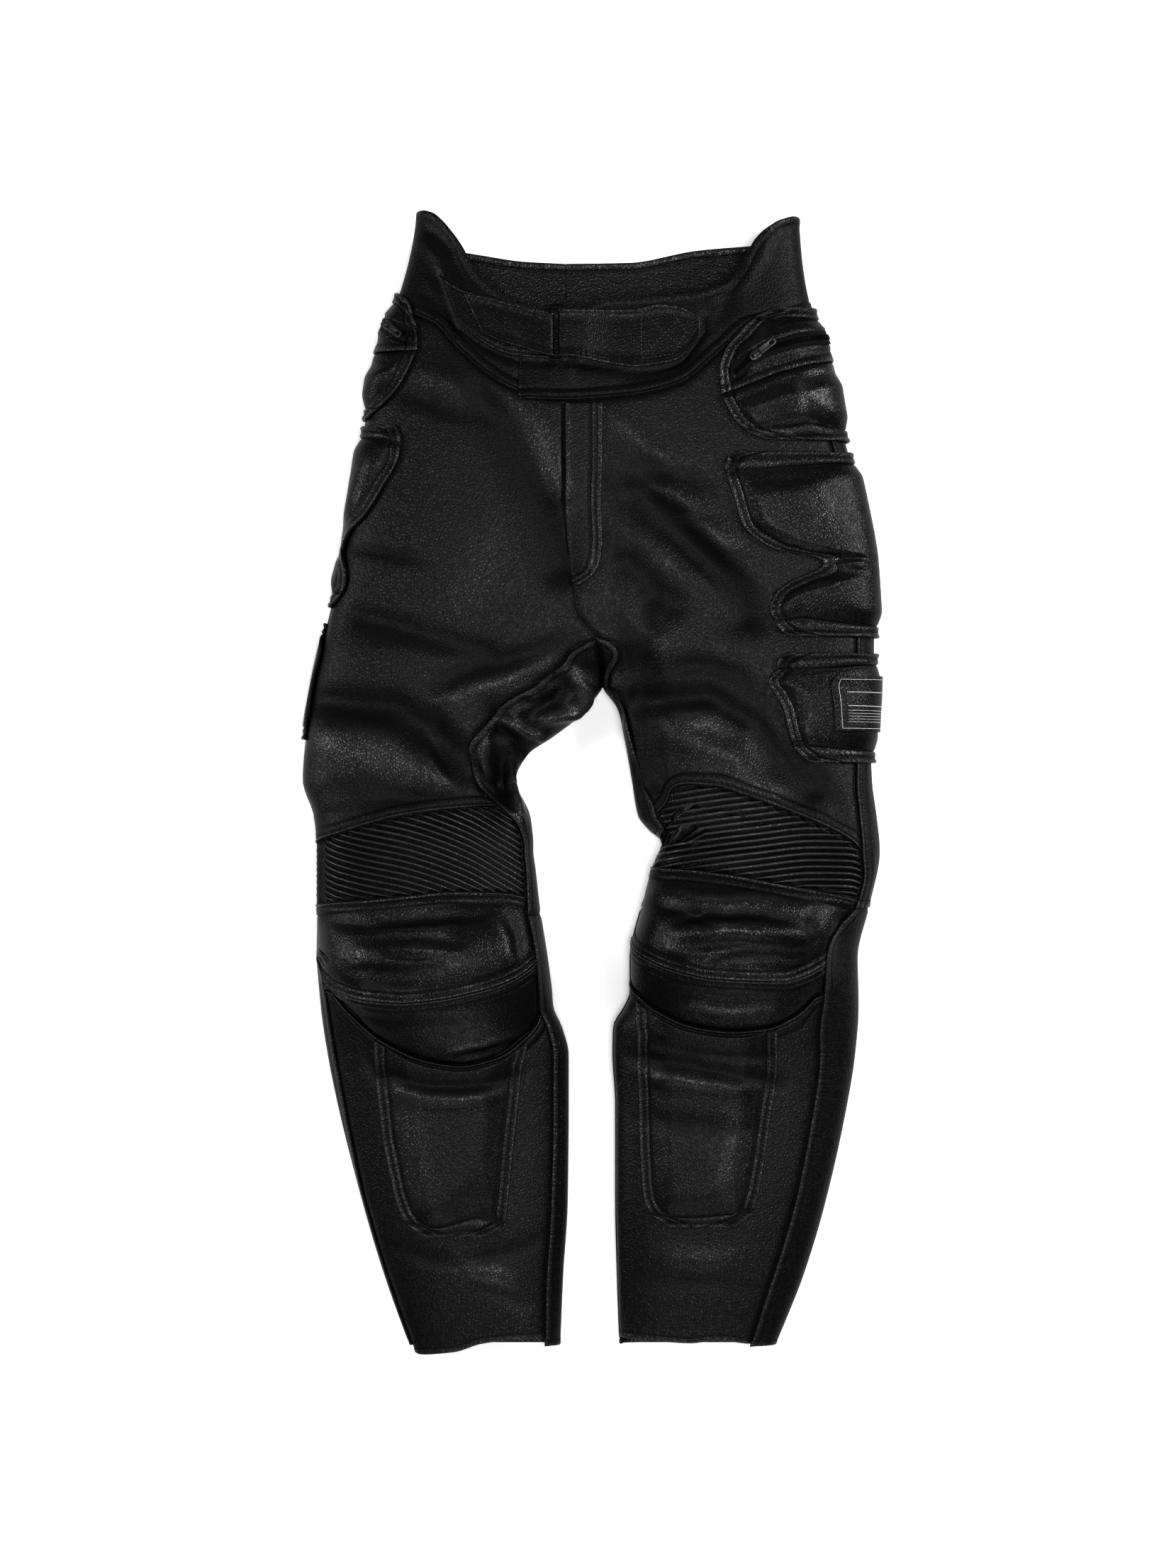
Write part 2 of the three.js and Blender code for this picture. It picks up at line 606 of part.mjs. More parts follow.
// The waistband: the left front runs on over the right as a square-ended tab
const BAND_BACK_TOP = {
  right: curve([1.08, 1.2, 1.35, 1.5, 1.67, 1.83, 2], [515, 508, 498, 489, 481, 475, 473]),
  left: curve([1.06, 1.2, 1.35, 1.5, 1.67, 1.83, 2], [510, 508, 500, 491, 485, 474, 473]),
};
const BAND_SIDE = { right: 1.1125, left: 1.06 };
const TAB = { end: -0.15, bottom: 342.5, over: 2.6, rampFrom: -22, rampTo: -8, gap: 0.35, level: 380 };
const TAB_COLUMNS = [-42, -23, -15, -8];

const through = (knots) => curve(knots.map((k) => k[0]), knots.map((k) => k[1]));

function bandEdges(side) {
  const seams = SEAMS[side.name];
  const last = BAND_SIDE[side.name];
  const knots = (points) => points.map(([x, y]) => [around(side, x, y), y]);
  const top = [...knots(seams.bandTop), [last, seams.bandTop.at(-1)[1] - 1]];
  const low = [...knots(seams.bandSeam), [last, seams.bandSeam.at(-1)[1] + 1]];
  return { top, low };
}

// A waistband's columns, met with those of the panel below it.
function matchedColumns(first, last, inside) {
  return [first, ...inside.filter((a) => a > first + 0.03 && a < last - 0.03), last];
}
const asShares = (places) => places.map((a) => (a - places[0]) / (places.at(-1) - places[0]));

for (const side of SIDES) {
  const { outer, inner } = legEdges(side);
  const { top, low } = bandEdges(side);
  const seam = through(low);
  const nodes = seamKnots(seam, inner, outer, COLUMNS).map((knot) => knot[0]);
  const band = { left: 0, right: BAND_SIDE[side.name], bottom: seam, top: through(top), rows: 6 };
  if (side === LEFT) {
    const onRight = (x) => x < FRONT_MIDDLE;
    const tabPlace = (x) => (onRight(x) ? -around(RIGHT, x, TAB.level) : around(LEFT, x, TAB.level));
    const tabPlaces = TAB_COLUMNS.map(tabPlace);
    const tabTop = [[TAB.end, 426.6], [-around(RIGHT, -40, 422), 422.4]];
    Object.assign(band, {
      left: TAB.end,
      bottom: through([[TAB.end, TAB.bottom], ...low]),
      top: through([...tabTop, ...top]),
      us: asShares([TAB.end, ...tabPlaces, ...nodes.filter((a) => a > 0.1), BAND_SIDE.left]),
      gap: TAB.gap,
      lift: ({ a, y }) => TAB.over * (1 - smooth(TAB.rampFrom, TAB.rampTo, skin(LEFT, a, y).x)) - WALL,
    });
  } else {
    band.us = asShares(matchedColumns(0, BAND_SIDE.right, nodes));
  }
  add(`waistband_front_${side.name}`, panel(side, band), GRAINED);

  const backPlaces = steps(6).map((u) => mix(outer(400), 2, u));
  const back = {
    left: BAND_SIDE[side.name],
    right: 2,
    bottom: BAND_BACK_SEAM[side.name],
    top: BAND_BACK_TOP[side.name],
    us: asShares([...matchedColumns(BAND_SIDE[side.name], 2, backPlaces)]),
    rows: 3,
  };
  add(`waistband_back_${side.name}`, panel(side, back), GRAINED);
}

// Pads and other pieces that lie on the leather
const PADS = {
  right: {
    hip: {
      edge: [[-161, 441], [-158, 422], [-154, 406], [-153.6, 390], [-158, 377.6], [-168, 358], [-184, 339],
        [-198, 327]],
      split: [[-153, 387], [-190, 387]],
      columns: 7,
      top: edgeY(RIGHT, [[-158, 427], [-163, 434], [-169, 440], [-173, 442]]),
      bottom: 327,
    },
    thigh: {
      edge: [[-187, 323], [-173, 320], [-168, 307], [-169.6, 294], [-184, 265.6], [-200, 240], [-216, 221],
        [-220, 210], [-219, 201], [-217, 189], [-218, 176], [-226.6, 163], [-235, 153]],
      columns: 8,
      top: 321,
      bottom: 158,
    },
    low: {
      edge: [[-238, 146], [-240, 120], [-247, 90], [-252, 60], [-255, 37]],
      columns: 5,
      top: 144,
      bottom: 39,
    },
  },
  left: {
    hip: {
      edge: [[171.5, 429], [149, 419], [133, 403], [120, 387], [115, 368], [117, 349], [123.5, 333],
        [136, 317], [152, 309], [171.5, 305]],
      split: [[119, 347.5], [146, 358], [171.5, 368], [200, 376], [215, 379.5]],
      columns: 11,
      top: 427,
      bottom: 307,
    },
    thigh: {
      edge: [[136, 299], [121.6, 291], [120, 281.6], [127, 259], [136, 230], [149, 217.6], [165, 209],
        [200, 202.5], [209, 197], [203.5, 192], [181, 182], [165, 169.6], [160.6, 153.6], [165, 141],
        [175, 133], [191, 129]],
      columns: 10,
      top: 297,
      bottom: 131,
    },
    low: {
      edge: [[180, 119], [168, 112], [166, 102.4], [172, 67], [181, 35], [191, 22.4], [205, 16]],
      columns: 8,
      top: 117,
      bottom: 18,
    },
  },
};
const SHIN_PAD = {
  right: {
    outer: [[-193, -200], [-193, -253], [-189, -291], [-184, -330], [-176, -368], [-171, -384], [-161, -400],
      [-148, -408]],
    inner: [[-56, -200], [-60, -253], [-65, -298], [-70, -342], [-73.6, -381], [-77, -396], [-86, -404],
      [-100, -408]],
    bottom: -408,
  },
  left: {
    outer: [[170, -200], [168, -259], [162, -304], [155.5, -349], [150, -375], [143, -391], [128, -399]],
    inner: [[43, -190], [43.5, -227], [44.5, -285], [46.5, -349], [49, -374], [56, -388.5], [72, -399]],
    bottom: -399,
  },
};
const UNDER_CUP = 4;
const OVER_HEM = 0.3;
const FLY = {
  edge: [[-10, 176], [5, 187.5], [10.2, 202], [11.5, 221], [10.2, 259], [11.5, 291], [11.5, 338]],
  top: 340,
  bottom: 177,
  thick: 1.6,
};
const PATCH = { inner: 218, outer: 1.06, bottom: 46, top: 97, thick: 1.2, gap: 0.9 };
const PAD_UNDER = (30 / 180) * Math.PI;
const PUFF = { pocket: 3, hip: 4, thigh: 4, low: 3, shin: 3 };
const onSkin = () => LAY_GAP;

for (const side of SIDES) {
  const pads = PADS[side.name];
  const under = (y) => 1 + PAD_UNDER / section(side, y).psiIn;
  const split = edgeY(side, pads.hip.split);
  const pieces = [
    { name: 'hip_pocket', ...pads.hip, bottom: split, puff: PUFF.pocket, rows: 5 },
    { name: 'hip_pad', ...pads.hip, top: split, puff: PUFF.hip, rows: 6 },
    { name: 'thigh_pad', ...pads.thigh, puff: PUFF.thigh, rows: 13 },
    { name: 'lower_thigh_pad', ...pads.low, puff: PUFF.low, rows: 7 },
  ];
  for (const { name, edge, puff, columns, ...piece } of pieces) {
    const extra = { left: edgeA(side, edge), right: under, us: steps(columns), padded: true };
    const shape = { ...piece, ...extra, lift: onSkin, thick: puffed(puff) };
    add(`${name}_${side.name}`, panel(side, shape), GRAINED);
  }
  const shinPad = SHIN_PAD[side.name];
  const cupEnd = edgeY(side, SEAMS[side.name].cupEnd);
  const shin = {
    left: edgeA(side, shinPad.inner),
    right: edgeA(side, shinPad.outer),
    bottom: shinPad.bottom,
    top: (a) => cupEnd(a) - UNDER_CUP,
    rows: 10,
    us: steps(8),
    lift: () => LAY_GAP + OVER_HEM,
    thick: puffed(PUFF.shin),
    padded: true,
  };
  add(`shin_pad_${side.name}`, panel(side, shin), SMOOTH);
}

const fly = {
  left: 0,
  right: edgeA(LEFT, FLY.edge),
  bottom: FLY.bottom,
  top: FLY.top,
  ys: [FLY.bottom, ...LEVELS.filter((y) => y > FLY.bottom + 6 && y < FLY.top - 6).toReversed(), FLY.top],
  us: steps(3),
  lift: onSkin,
  thick: () => FLY.thick,
};
add('fly', panel(LEFT, fly), SMOOTH);
const patch = {
  left: edgeA(LEFT, [[PATCH.inner, PATCH.bottom], [PATCH.inner, PATCH.top]]),
  right: PATCH.outer,
  bottom: PATCH.bottom,
  top: PATCH.top,
  rows: 4,
  us: steps(5),
  lift: () => LAY_GAP + PAD.thick + PUFF.low + PATCH.gap,
  thick: () => PATCH.thick,
};
add('thigh_patch_left', panel(LEFT, patch), GRAINED);

// The waist strap: it runs to the ring, turns back over the ring's bar and lies on itself. The tab that
// holds the ring turns under the other bar. A column is a line across the strap, from its bottom to its
// top edge in plan, with the height of the middle of the leather over the skin and the way it faces.
const HALF = STRAP.thick / 2;
const LOW_RUN = LAY_GAP + HALF;
const OVER_TAB = TAB.over + LAY_GAP + HALF;
const TURN = STRAP.barRadius + 0.35 + HALF;
const BAR_HEIGHT = OVER_TAB + TURN;
const RING = { x: [-35.5, -24.5], y: [377.5, 426.5], wire: 1.0 };
const onFront = (x, y) => {
  const side = x < FRONT_MIDDLE ? RIGHT : LEFT;
  return [side, around(side, x, y)];
};

// A ribbon of leather through columns { low, high, lift, turn }: turn is the angle it has turned over.
function ribbon(columns, rows) {
  const outer = [];
  const inner = [];
  for (const v of steps(rows)) {
    const faces = columns.map(({ low, high, lift, turn = 0, along = 1 }) => {
      const [x, y] = [mix(low[0], high[0], v), mix(low[1], high[1], v)];
      const [side, a] = onFront(x, y);
      const normal = outward(side, a, y);
      const sideways = new THREE.Vector3(1, 0, 0).addScaledVector(normal, -normal.x).normalize();
      const facing = normal.clone().multiplyScalar(Math.cos(turn));
      facing.addScaledVector(sideways, Math.sin(turn) * along);
      const middle = skin(side, a, y).addScaledVector(normal, lift);
      return [middle.clone().addScaledVector(facing, HALF), middle.addScaledVector(facing, -HALF)];
    });
    outer.push(faces.map((face) => face[0]));
    inner.push(faces.map((face) => face[1]));
  }
  return [outer, inner];
}

// The turn round a bar at x, from lying face up below the bar (turn 0) to over it (turn pi).
function turnRound(x, yLow, yHigh, along) {
  return [0.5, 1, 1.5, 2, 2.5].map((quarter) => {
    const turn = (quarter * Math.PI) / 3;
    const at = x + along * TURN * Math.sin(turn);
    const lift = BAR_HEIGHT - TURN * Math.cos(turn);
    return { low: [at, yLow], high: [at, yHigh], lift, turn: Math.PI - turn, along };
  });
}
const RUN_UNDER = [
  { low: [-118, 411], high: [-136, 455], lift: LOW_RUN },
  { low: [-101, 398], high: [-112, 441], lift: LOW_RUN },
  { low: [-85, 388], high: [-88, 435], lift: LOW_RUN },
  { low: [-72, 383], high: [-74, 430], lift: LOW_RUN },
  { low: [-62, 381], high: [-64, 427.5], lift: OVER_TAB },
  { low: [-50, 379.8], high: [-50, 424], lift: OVER_TAB },
  { low: [RING.x[0], 379], high: [RING.x[0], 421], lift: OVER_TAB },
];
const OVER = STRAP.thick + STRAP.gap;
const RUN_OVER = [
  { low: [RING.x[0], 380.5], high: [RING.x[0], 418], lift: BAR_HEIGHT + TURN },
  { low: [-47, 383.5], high: [-47, 420], lift: OVER_TAB + OVER + 1.6 },
  { low: [-60, 388], high: [-60, 425.5], lift: OVER_TAB + OVER },
  { low: [-72, 391.5], high: [-74, 429], lift: OVER_TAB + OVER - 0.6 },
  { low: [-84, 396], high: [-90, 434], lift: LOW_RUN + OVER },
  { low: [-96, 402], high: [-113, 438], lift: LOW_RUN + OVER },
];
const facingDown = (columns) => columns.map((column) => ({ ...column, turn: Math.PI }));
const strapTurn = turnRound(RING.x[0], 380, 419.5, 1);
const strap = ribbon([...facingDown(RUN_UNDER), ...strapTurn, ...RUN_OVER], 4);
add('waist_strap', wall(...strap, true), GRAINED);

const HOLDER_OVER = [
  { low: [99, 403], high: [99, 416], lift: LOW_RUN },
  { low: [79, 378.5], high: [79, 427], lift: LOW_RUN },
  { low: [62, 374], high: [62, 429], lift: LOW_RUN },
  { low: [40, 371.5], high: [40, 424.5], lift: LOW_RUN },
  { low: [22, 373.5], high: [22, 424], lift: LOW_RUN },
  { low: [8, 376], high: [8, 423.5], lift: LOW_RUN + 2.4 },
  { low: [-6, 378.5], high: [-6, 423], lift: OVER_TAB + OVER + 1.4 },
  { low: [-15, 380], high: [-15, 423], lift: BAR_HEIGHT + TURN - 0.6 },
  { low: [RING.x[1], 380], high: [RING.x[1], 423], lift: BAR_HEIGHT + TURN },
];
const HOLDER_UNDER = [
  { low: [RING.x[1], 380], high: [RING.x[1], 423], lift: OVER_TAB },
  { low: [-13, 380], high: [-13, 423], lift: OVER_TAB },
];
const holderTurn = turnRound(RING.x[1], 380, 423, -1);
const holderUnder = facingDown(HOLDER_UNDER.toReversed());
const holder = ribbon([...holderUnder, ...holderTurn, ...HOLDER_OVER.toReversed()], 4);
add('ring_holder', wall(...holder, false), GRAINED);

// The axes of a piece that lies on the skin: u along it, w across it and n outwards.
function frameAt(side, a, y, toX, toY) {
  const normal = outward(side, a, y);
  const across = alongA(side, a, y).normalize().multiplyScalar(side.sign);
  const u = across.multiplyScalar(toX).addScaledVector(alongY(side, a, y).normalize(), toY).normalize();
  u.addScaledVector(normal, -u.dot(normal)).normalize();
  return { u, w: normal.clone().cross(u), n: normal };
}
function placed(geometry, origin, { u, w, n }) {
  return geometry.applyMatrix4(new THREE.Matrix4().makeBasis(u, w, n).setPosition(origin));
}
const flat = (shape, depth) => new THREE.ExtrudeGeometry(shape, { depth, bevelEnabled: false });

// Points on an arc of an ellipse, both ends included unless it goes all round
function arc(x, y, wide, high, from, to, count) {
  const closed = to - from > 1.99 * Math.PI;
  return steps(count).slice(0, closed ? -1 : undefined).map((t) => {
    const angle = mix(from, to, t);
    return new THREE.Vector2(x + wide * Math.cos(angle), y + high * Math.sin(angle));
  });
}
function roundedRectangle(long, wide, radius) {
  const [x, y] = [long / 2 - radius, wide / 2 - radius];
  const corners = [[x, y], [-x, y], [-x, -y], [x, -y]];
  const quarter = Math.PI / 2;
  return corners.flatMap(([cx, cy], i) => arc(cx, cy, radius, radius, i * quarter, (i + 1) * quarter, 3));
}
const points = (pairs) => pairs.map(([x, y]) => new THREE.Vector2(x, y));

// The metal ring between the strap and its holder
{
  const [x, y] = [(RING.x[0] + RING.x[1]) / 2, (RING.y[0] + RING.y[1]) / 2];
  const [side, a] = onFront(x, y);
  const long = RING.y[1] - RING.y[0];
  const wide = RING.x[1] - RING.x[0];
  const shape = new THREE.Shape(roundedRectangle(long + 2 * RING.wire, wide + 2 * RING.wire, 3.2));
  shape.holes.push(new THREE.Path(roundedRectangle(long - 2 * RING.wire, wide - 2 * RING.wire, 1.4)));
  const axes = frameAt(side, a, y, 0, 1);
  const origin = lifted(side, a, y, BAR_HEIGHT - RING.wire);
  add('strap_ring', placed(flat(shape, 2 * RING.wire), origin, axes), METAL);
}

// The hip zips: a slider with a bridge, and a pull tab that turns on a bar under the bridge
const ZIP = {
  slider: { long: 11, wide: 8, thick: 2.4 },
  bridge: { foot: 4, shoulder: 2.7, inside: 2.9, clear: 3, high: 4.2, wide: 2.6, step: 1.2, corner: 0.85 },
  pull: { long: 23, wide: 6.6, thick: 1.3, bar: 0.8, window: 5, arm: 1.3, slot: [3, 1.4], fromEnd: 1.2 },
  axisHeight: 1.55,
  droop: 5 * (Math.PI / 180),
};
const ZIPS = {
  right: { x: -177, y: 409, toX: 0.88, toY: -0.47, seat: -0.5 },
  left: { x: 147, y: 382, toX: 0.81, toY: 0.58, seat: 0.1 },
};

function solidOf(geometry) {
  const position = geometry.attributes.position;
  const keys = new Map();
  const points = [];
  const faces = [];
  for (let i = 0; i < (geometry.index ? geometry.index.count : position.count); i++) {
    const k = geometry.index ? geometry.index.getX(i) : i;
    const point = [position.getX(k), position.getY(k), position.getZ(k)];
    const key = point.map((value) => value.toFixed(4)).join();
    if (!keys.has(key)) {
      keys.set(key, points.length / 3);
      points.push(...point);
    }
    faces.push(keys.get(key));
  }
  const mesh = { numProp: 3, vertProperties: new Float32Array(points), triVerts: new Uint32Array(faces) };
  return new wasm.Manifold(new wasm.Mesh(mesh));
}
function fromSolid(solid) {
  const mesh = solid.getMesh();
  const geometry = new THREE.BufferGeometry();
  geometry.setAttribute('position', new THREE.Float32BufferAttribute(mesh.vertProperties, 3));
  geometry.setIndex([...mesh.triVerts]);
  geometry.computeVertexNormals();
  return geometry;
}

function slider() {
  const { long, wide, thick } = ZIP.slider;
  const [half, nose, tail] = [wide / 2, wide * 0.28, wide * 0.2];
  const body = new THREE.Shape(points([
    [-long / 2, -nose], [-long * 0.12, -half], [long * 0.34, -half], [long / 2, -tail],
    [long / 2, tail], [long * 0.34, half], [-long * 0.12, half], [-long / 2, nose],
  ]));
  const { foot, shoulder, inside, clear, high, step, corner, wide: across } = ZIP.bridge;
  const sunk = thick / 2;
  const arch = new THREE.Shape(points([
    [-foot, -sunk], [-foot, step], [-shoulder, high], [shoulder, high], [foot, step], [foot, -sunk],
    [inside, -sunk], [inside, clear - corner], [inside - corner, clear], [corner - inside, clear],
    [-inside, clear - corner], [-inside, -sunk],
  ]));
  const bridge = flat(arch, across).translate(0, 0, -across / 2).rotateX(Math.PI / 2).translate(0, 0, thick);
  return fromSolid(solidOf(flat(body, thick)).add(solidOf(bridge)));
}

function pullTab() {
  const { long, wide, thick, bar, window: open, arm, slot: [slotLong, slotWide], fromEnd } = ZIP.pull;
  const half = wide / 2;
  const round = arc(long - half, 0, half, half, -Math.PI / 2, Math.PI / 2, 8);
  const shape = new THREE.Shape([...points([[-bar, half], [-bar, -half]]), ...round]);
  const [low, high] = [arm - half, half - arm];
  const hole = new THREE.Path(points([[bar, low], [bar, high], [open, high], [open, low]]));
  const slot = new THREE.Path(arc(long - half - fromEnd, 0, slotLong, slotWide, 0, 2 * Math.PI, 10));
  shape.holes.push(hole, slot);
  return flat(shape, thick).translate(0, 0, -thick / 2).rotateY(ZIP.droop);
}

// The point and the axis about which each pull tab swings
export const pullHinges = {};
for (const side of SIDES) {
  const { x, y, toX, toY, seat } = ZIPS[side.name];
  const a = around(side, x, y);
  const axes = frameAt(side, a, y, toX, toY);
  const origin = lifted(side, a, y, LAY_GAP + PAD.thick + PUFF.pocket + seat);
  add(`zip_slider_${side.name}`, placed(slider(), origin, axes), METAL);
  const axis = origin.clone().addScaledVector(axes.n, ZIP.slider.thick + ZIP.axisHeight);
  add(`zip_pull_${side.name}`, placed(pullTab(), axis, axes), METAL);
  pullHinges[side.name] = { point: axis, axis: axes.w.clone().negate() };
}

export default trousers;
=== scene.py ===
"""Black leather motorcycle trousers, laid flat with the front up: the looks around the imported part.

Sizes are in millimetres while a piece is worked out, and in metres in its mesh. Every piece of leather is
worked out on one skin, the outer face of the leather, as a point (a, y): y is the height along the legs,
and a runs once round a leg, from 0 at the inner edge over the front to 1 at the outer edge, and under the
back to 2.
"""

from __future__ import annotations

import logging
import math
from dataclasses import dataclass, field
from enum import Enum
from typing import Callable, Sequence

import bmesh
import bpy
import numpy as np
from mathutils import Matrix, Vector

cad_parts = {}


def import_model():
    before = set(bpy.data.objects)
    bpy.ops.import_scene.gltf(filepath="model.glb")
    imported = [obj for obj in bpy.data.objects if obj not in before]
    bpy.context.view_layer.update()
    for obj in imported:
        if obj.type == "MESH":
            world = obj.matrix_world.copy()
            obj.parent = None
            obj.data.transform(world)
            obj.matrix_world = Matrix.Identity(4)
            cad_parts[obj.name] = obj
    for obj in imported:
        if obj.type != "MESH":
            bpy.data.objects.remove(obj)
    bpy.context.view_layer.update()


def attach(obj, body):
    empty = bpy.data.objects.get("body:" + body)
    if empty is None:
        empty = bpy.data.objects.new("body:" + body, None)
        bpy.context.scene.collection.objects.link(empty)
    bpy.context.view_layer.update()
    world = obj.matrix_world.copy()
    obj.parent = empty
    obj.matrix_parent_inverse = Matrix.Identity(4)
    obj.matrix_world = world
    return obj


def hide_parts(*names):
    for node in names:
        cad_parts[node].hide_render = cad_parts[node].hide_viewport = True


LOG = logging.getLogger("trousers")
MM = 0.001
BODY = "trousers"

Array = np.ndarray
Points = Sequence[tuple[float, float]]
Line = Callable[[Array], Array]
Inputs = dict[str | int, object]
Socket = bpy.types.NodeSocket
StitchLine = tuple[Array, Array]

# The centre front's plan X, what stands for no seam near by, and the shortest length that counts
CENTRE_FRONT = -22.4
NO_SEAM = 99.0
NO_LENGTH = 1e-6
# The largest share of a row that may lie close beside one of its ends
MOST_NEAR_END = 0.42


def smooth(low: float, high: float, value: Array) -> Array:
    """Eases from 0 at low to 1 at high."""
    t = np.clip((value - low) / (high - low), 0, 1)
    return t * t * (3 - 2 * t)


def mix(start: Array, end: Array, share: Array) -> Array:
    """The value that lies a share of the way from start to end."""
    return start + (end - start) * share


def bell(distance: Array, width: float) -> Array:
    """A rounded hump: 1 at no distance, and little past its half width."""
    return np.exp(-((distance / width) ** 2))


def unit(vectors: Array) -> Array:
    """The same directions, at length 1."""
    return vectors / np.linalg.norm(vectors, axis=-1, keepdims=True)


def run_along(line: Array) -> Array:
    """The length run to reach each point of a line."""
    return np.concatenate([[0], np.cumsum(np.linalg.norm(np.diff(line, axis=0), axis=-1))])


class Curve:
    """A monotone cubic through points, flat beyond its ends."""

    def __init__(self, points: Points) -> None:
        """Works out the slopes.

        Args:
            points: the points (place, value), in any order.
        """
        ordered = sorted(points)
        self.x = np.array([p[0] for p in ordered], float)
        self.y = np.array([p[1] for p in ordered], float)
        slope = np.diff(self.y) / np.diff(self.x)
        self.tangent = np.empty_like(self.x)
        self.tangent[0], self.tangent[-1] = slope[0], slope[-1]
        before, after = slope[:-1], slope[1:]
        same = before * after > 0
        self.tangent[1:-1] = np.where(same, 2 * before * after / np.where(same, before + after, 1), 0)

    def __call__(self, at: Array) -> Array:
        """The curve's value at a place.

        Args:
            at: the places.

        Returns:
            The values there.
        """
        at = np.clip(at, self.x[0], self.x[-1])
        i = np.clip(np.searchsorted(self.x, at, side="left") - 1, 0, len(self.x) - 2)
        h = self.x[i + 1] - self.x[i]
        t = (at - self.x[i]) / h
        rise = (self.y[i + 1] - self.y[i]) * t * t * (3 - 2 * t)
        lead = t * (1 - t) ** 2 * h * self.tangent[i]
        return self.y[i] + rise + lead + t * t * (t - 1) * h * self.tangent[i + 1]


class Side(Enum):
    """The wearer's right or left, with the sign of its X."""

    RIGHT = -1
    LEFT = 1

    @property
    def tag(self) -> str:
        """The side's name in a piece's name."""
        return self.name.lower()

    @property
    def other(self) -> "Side":
        """The other side."""
        return Side(-self.value)


@dataclass(frozen=True)
class Fold:
    """A ridge, or a trough where its depth is less than nothing, along a path in plan."""

    depth: float
    width: float
    path: tuple[tuple[float, float], ...]

    def height(self, x: Array, y: Array) -> Array:
        """How far the fold moves the leather.

        Args:
            x: plan places.
            y: plan places.

        Returns:
            The heights there.
        """
        best = np.full(np.shape(x), np.inf)
        for (x0, y0), (x1, y1) in zip(self.path, self.path[1:]):
            dx, dy = x1 - x0, y1 - y0
            t = np.clip(((x - x0) * dx + (y - y0) * dy) / (dx * dx + dy * dy), 0, 1)
            best = np.minimum(best, np.hypot(x - x0 - t * dx, y - y0 - t * dy))
        return self.depth * bell(best, self.width)


@dataclass(frozen=True)
class Crease(Fold):
    """A smaller fold, which wavers along its path and runs out at both ends."""

    waver: float = 0.1

    WAVE_RATE = 1.1
    END_SHARE = 0.08
    END_POWER = 0.7

    def height(self, x: Array, y: Array) -> Array:
        """How far the crease moves the leather.

        Args:
            x: plan places.
            y: plan places.

        Returns:
            The heights there.
        """
        steps = [math.hypot(x1 - x0, y1 - y0) for (x0, y0), (x1, y1) in zip(self.path, self.path[1:])]
        total, passed = sum(steps), 0.0
        best, run = np.full(np.shape(x), np.inf), np.zeros(np.shape(x))
        for (x0, y0), (x1, y1), step in zip(self.path, self.path[1:], steps):
            dx, dy = (x1 - x0) / step, (y1 - y0) / step
            t = np.clip((x - x0) * dx + (y - y0) * dy, 0, step)
            away = (x - x0 - t * dx) * -dy + (y - y0 - t * dy) * dx
            beyond = np.hypot(x - x0 - t * dx, y - y0 - t * dy)
            wave = self.waver * self.width * np.sin((passed + t) * self.WAVE_RATE / self.width + x0)
            far = np.hypot(np.abs(away) - np.sign(away) * wave, np.sqrt(np.maximum(beyond**2 - away**2, 0)))
            closer = far < best
            best, run = np.where(closer, far, best), np.where(closer, passed + t, run)
            passed += step
        share = mix(self.END_SHARE, 1 - self.END_SHARE, np.clip(run / total, 0, 1))
        return self.depth * bell(best, self.width) * np.sin(math.pi * share) ** self.END_POWER


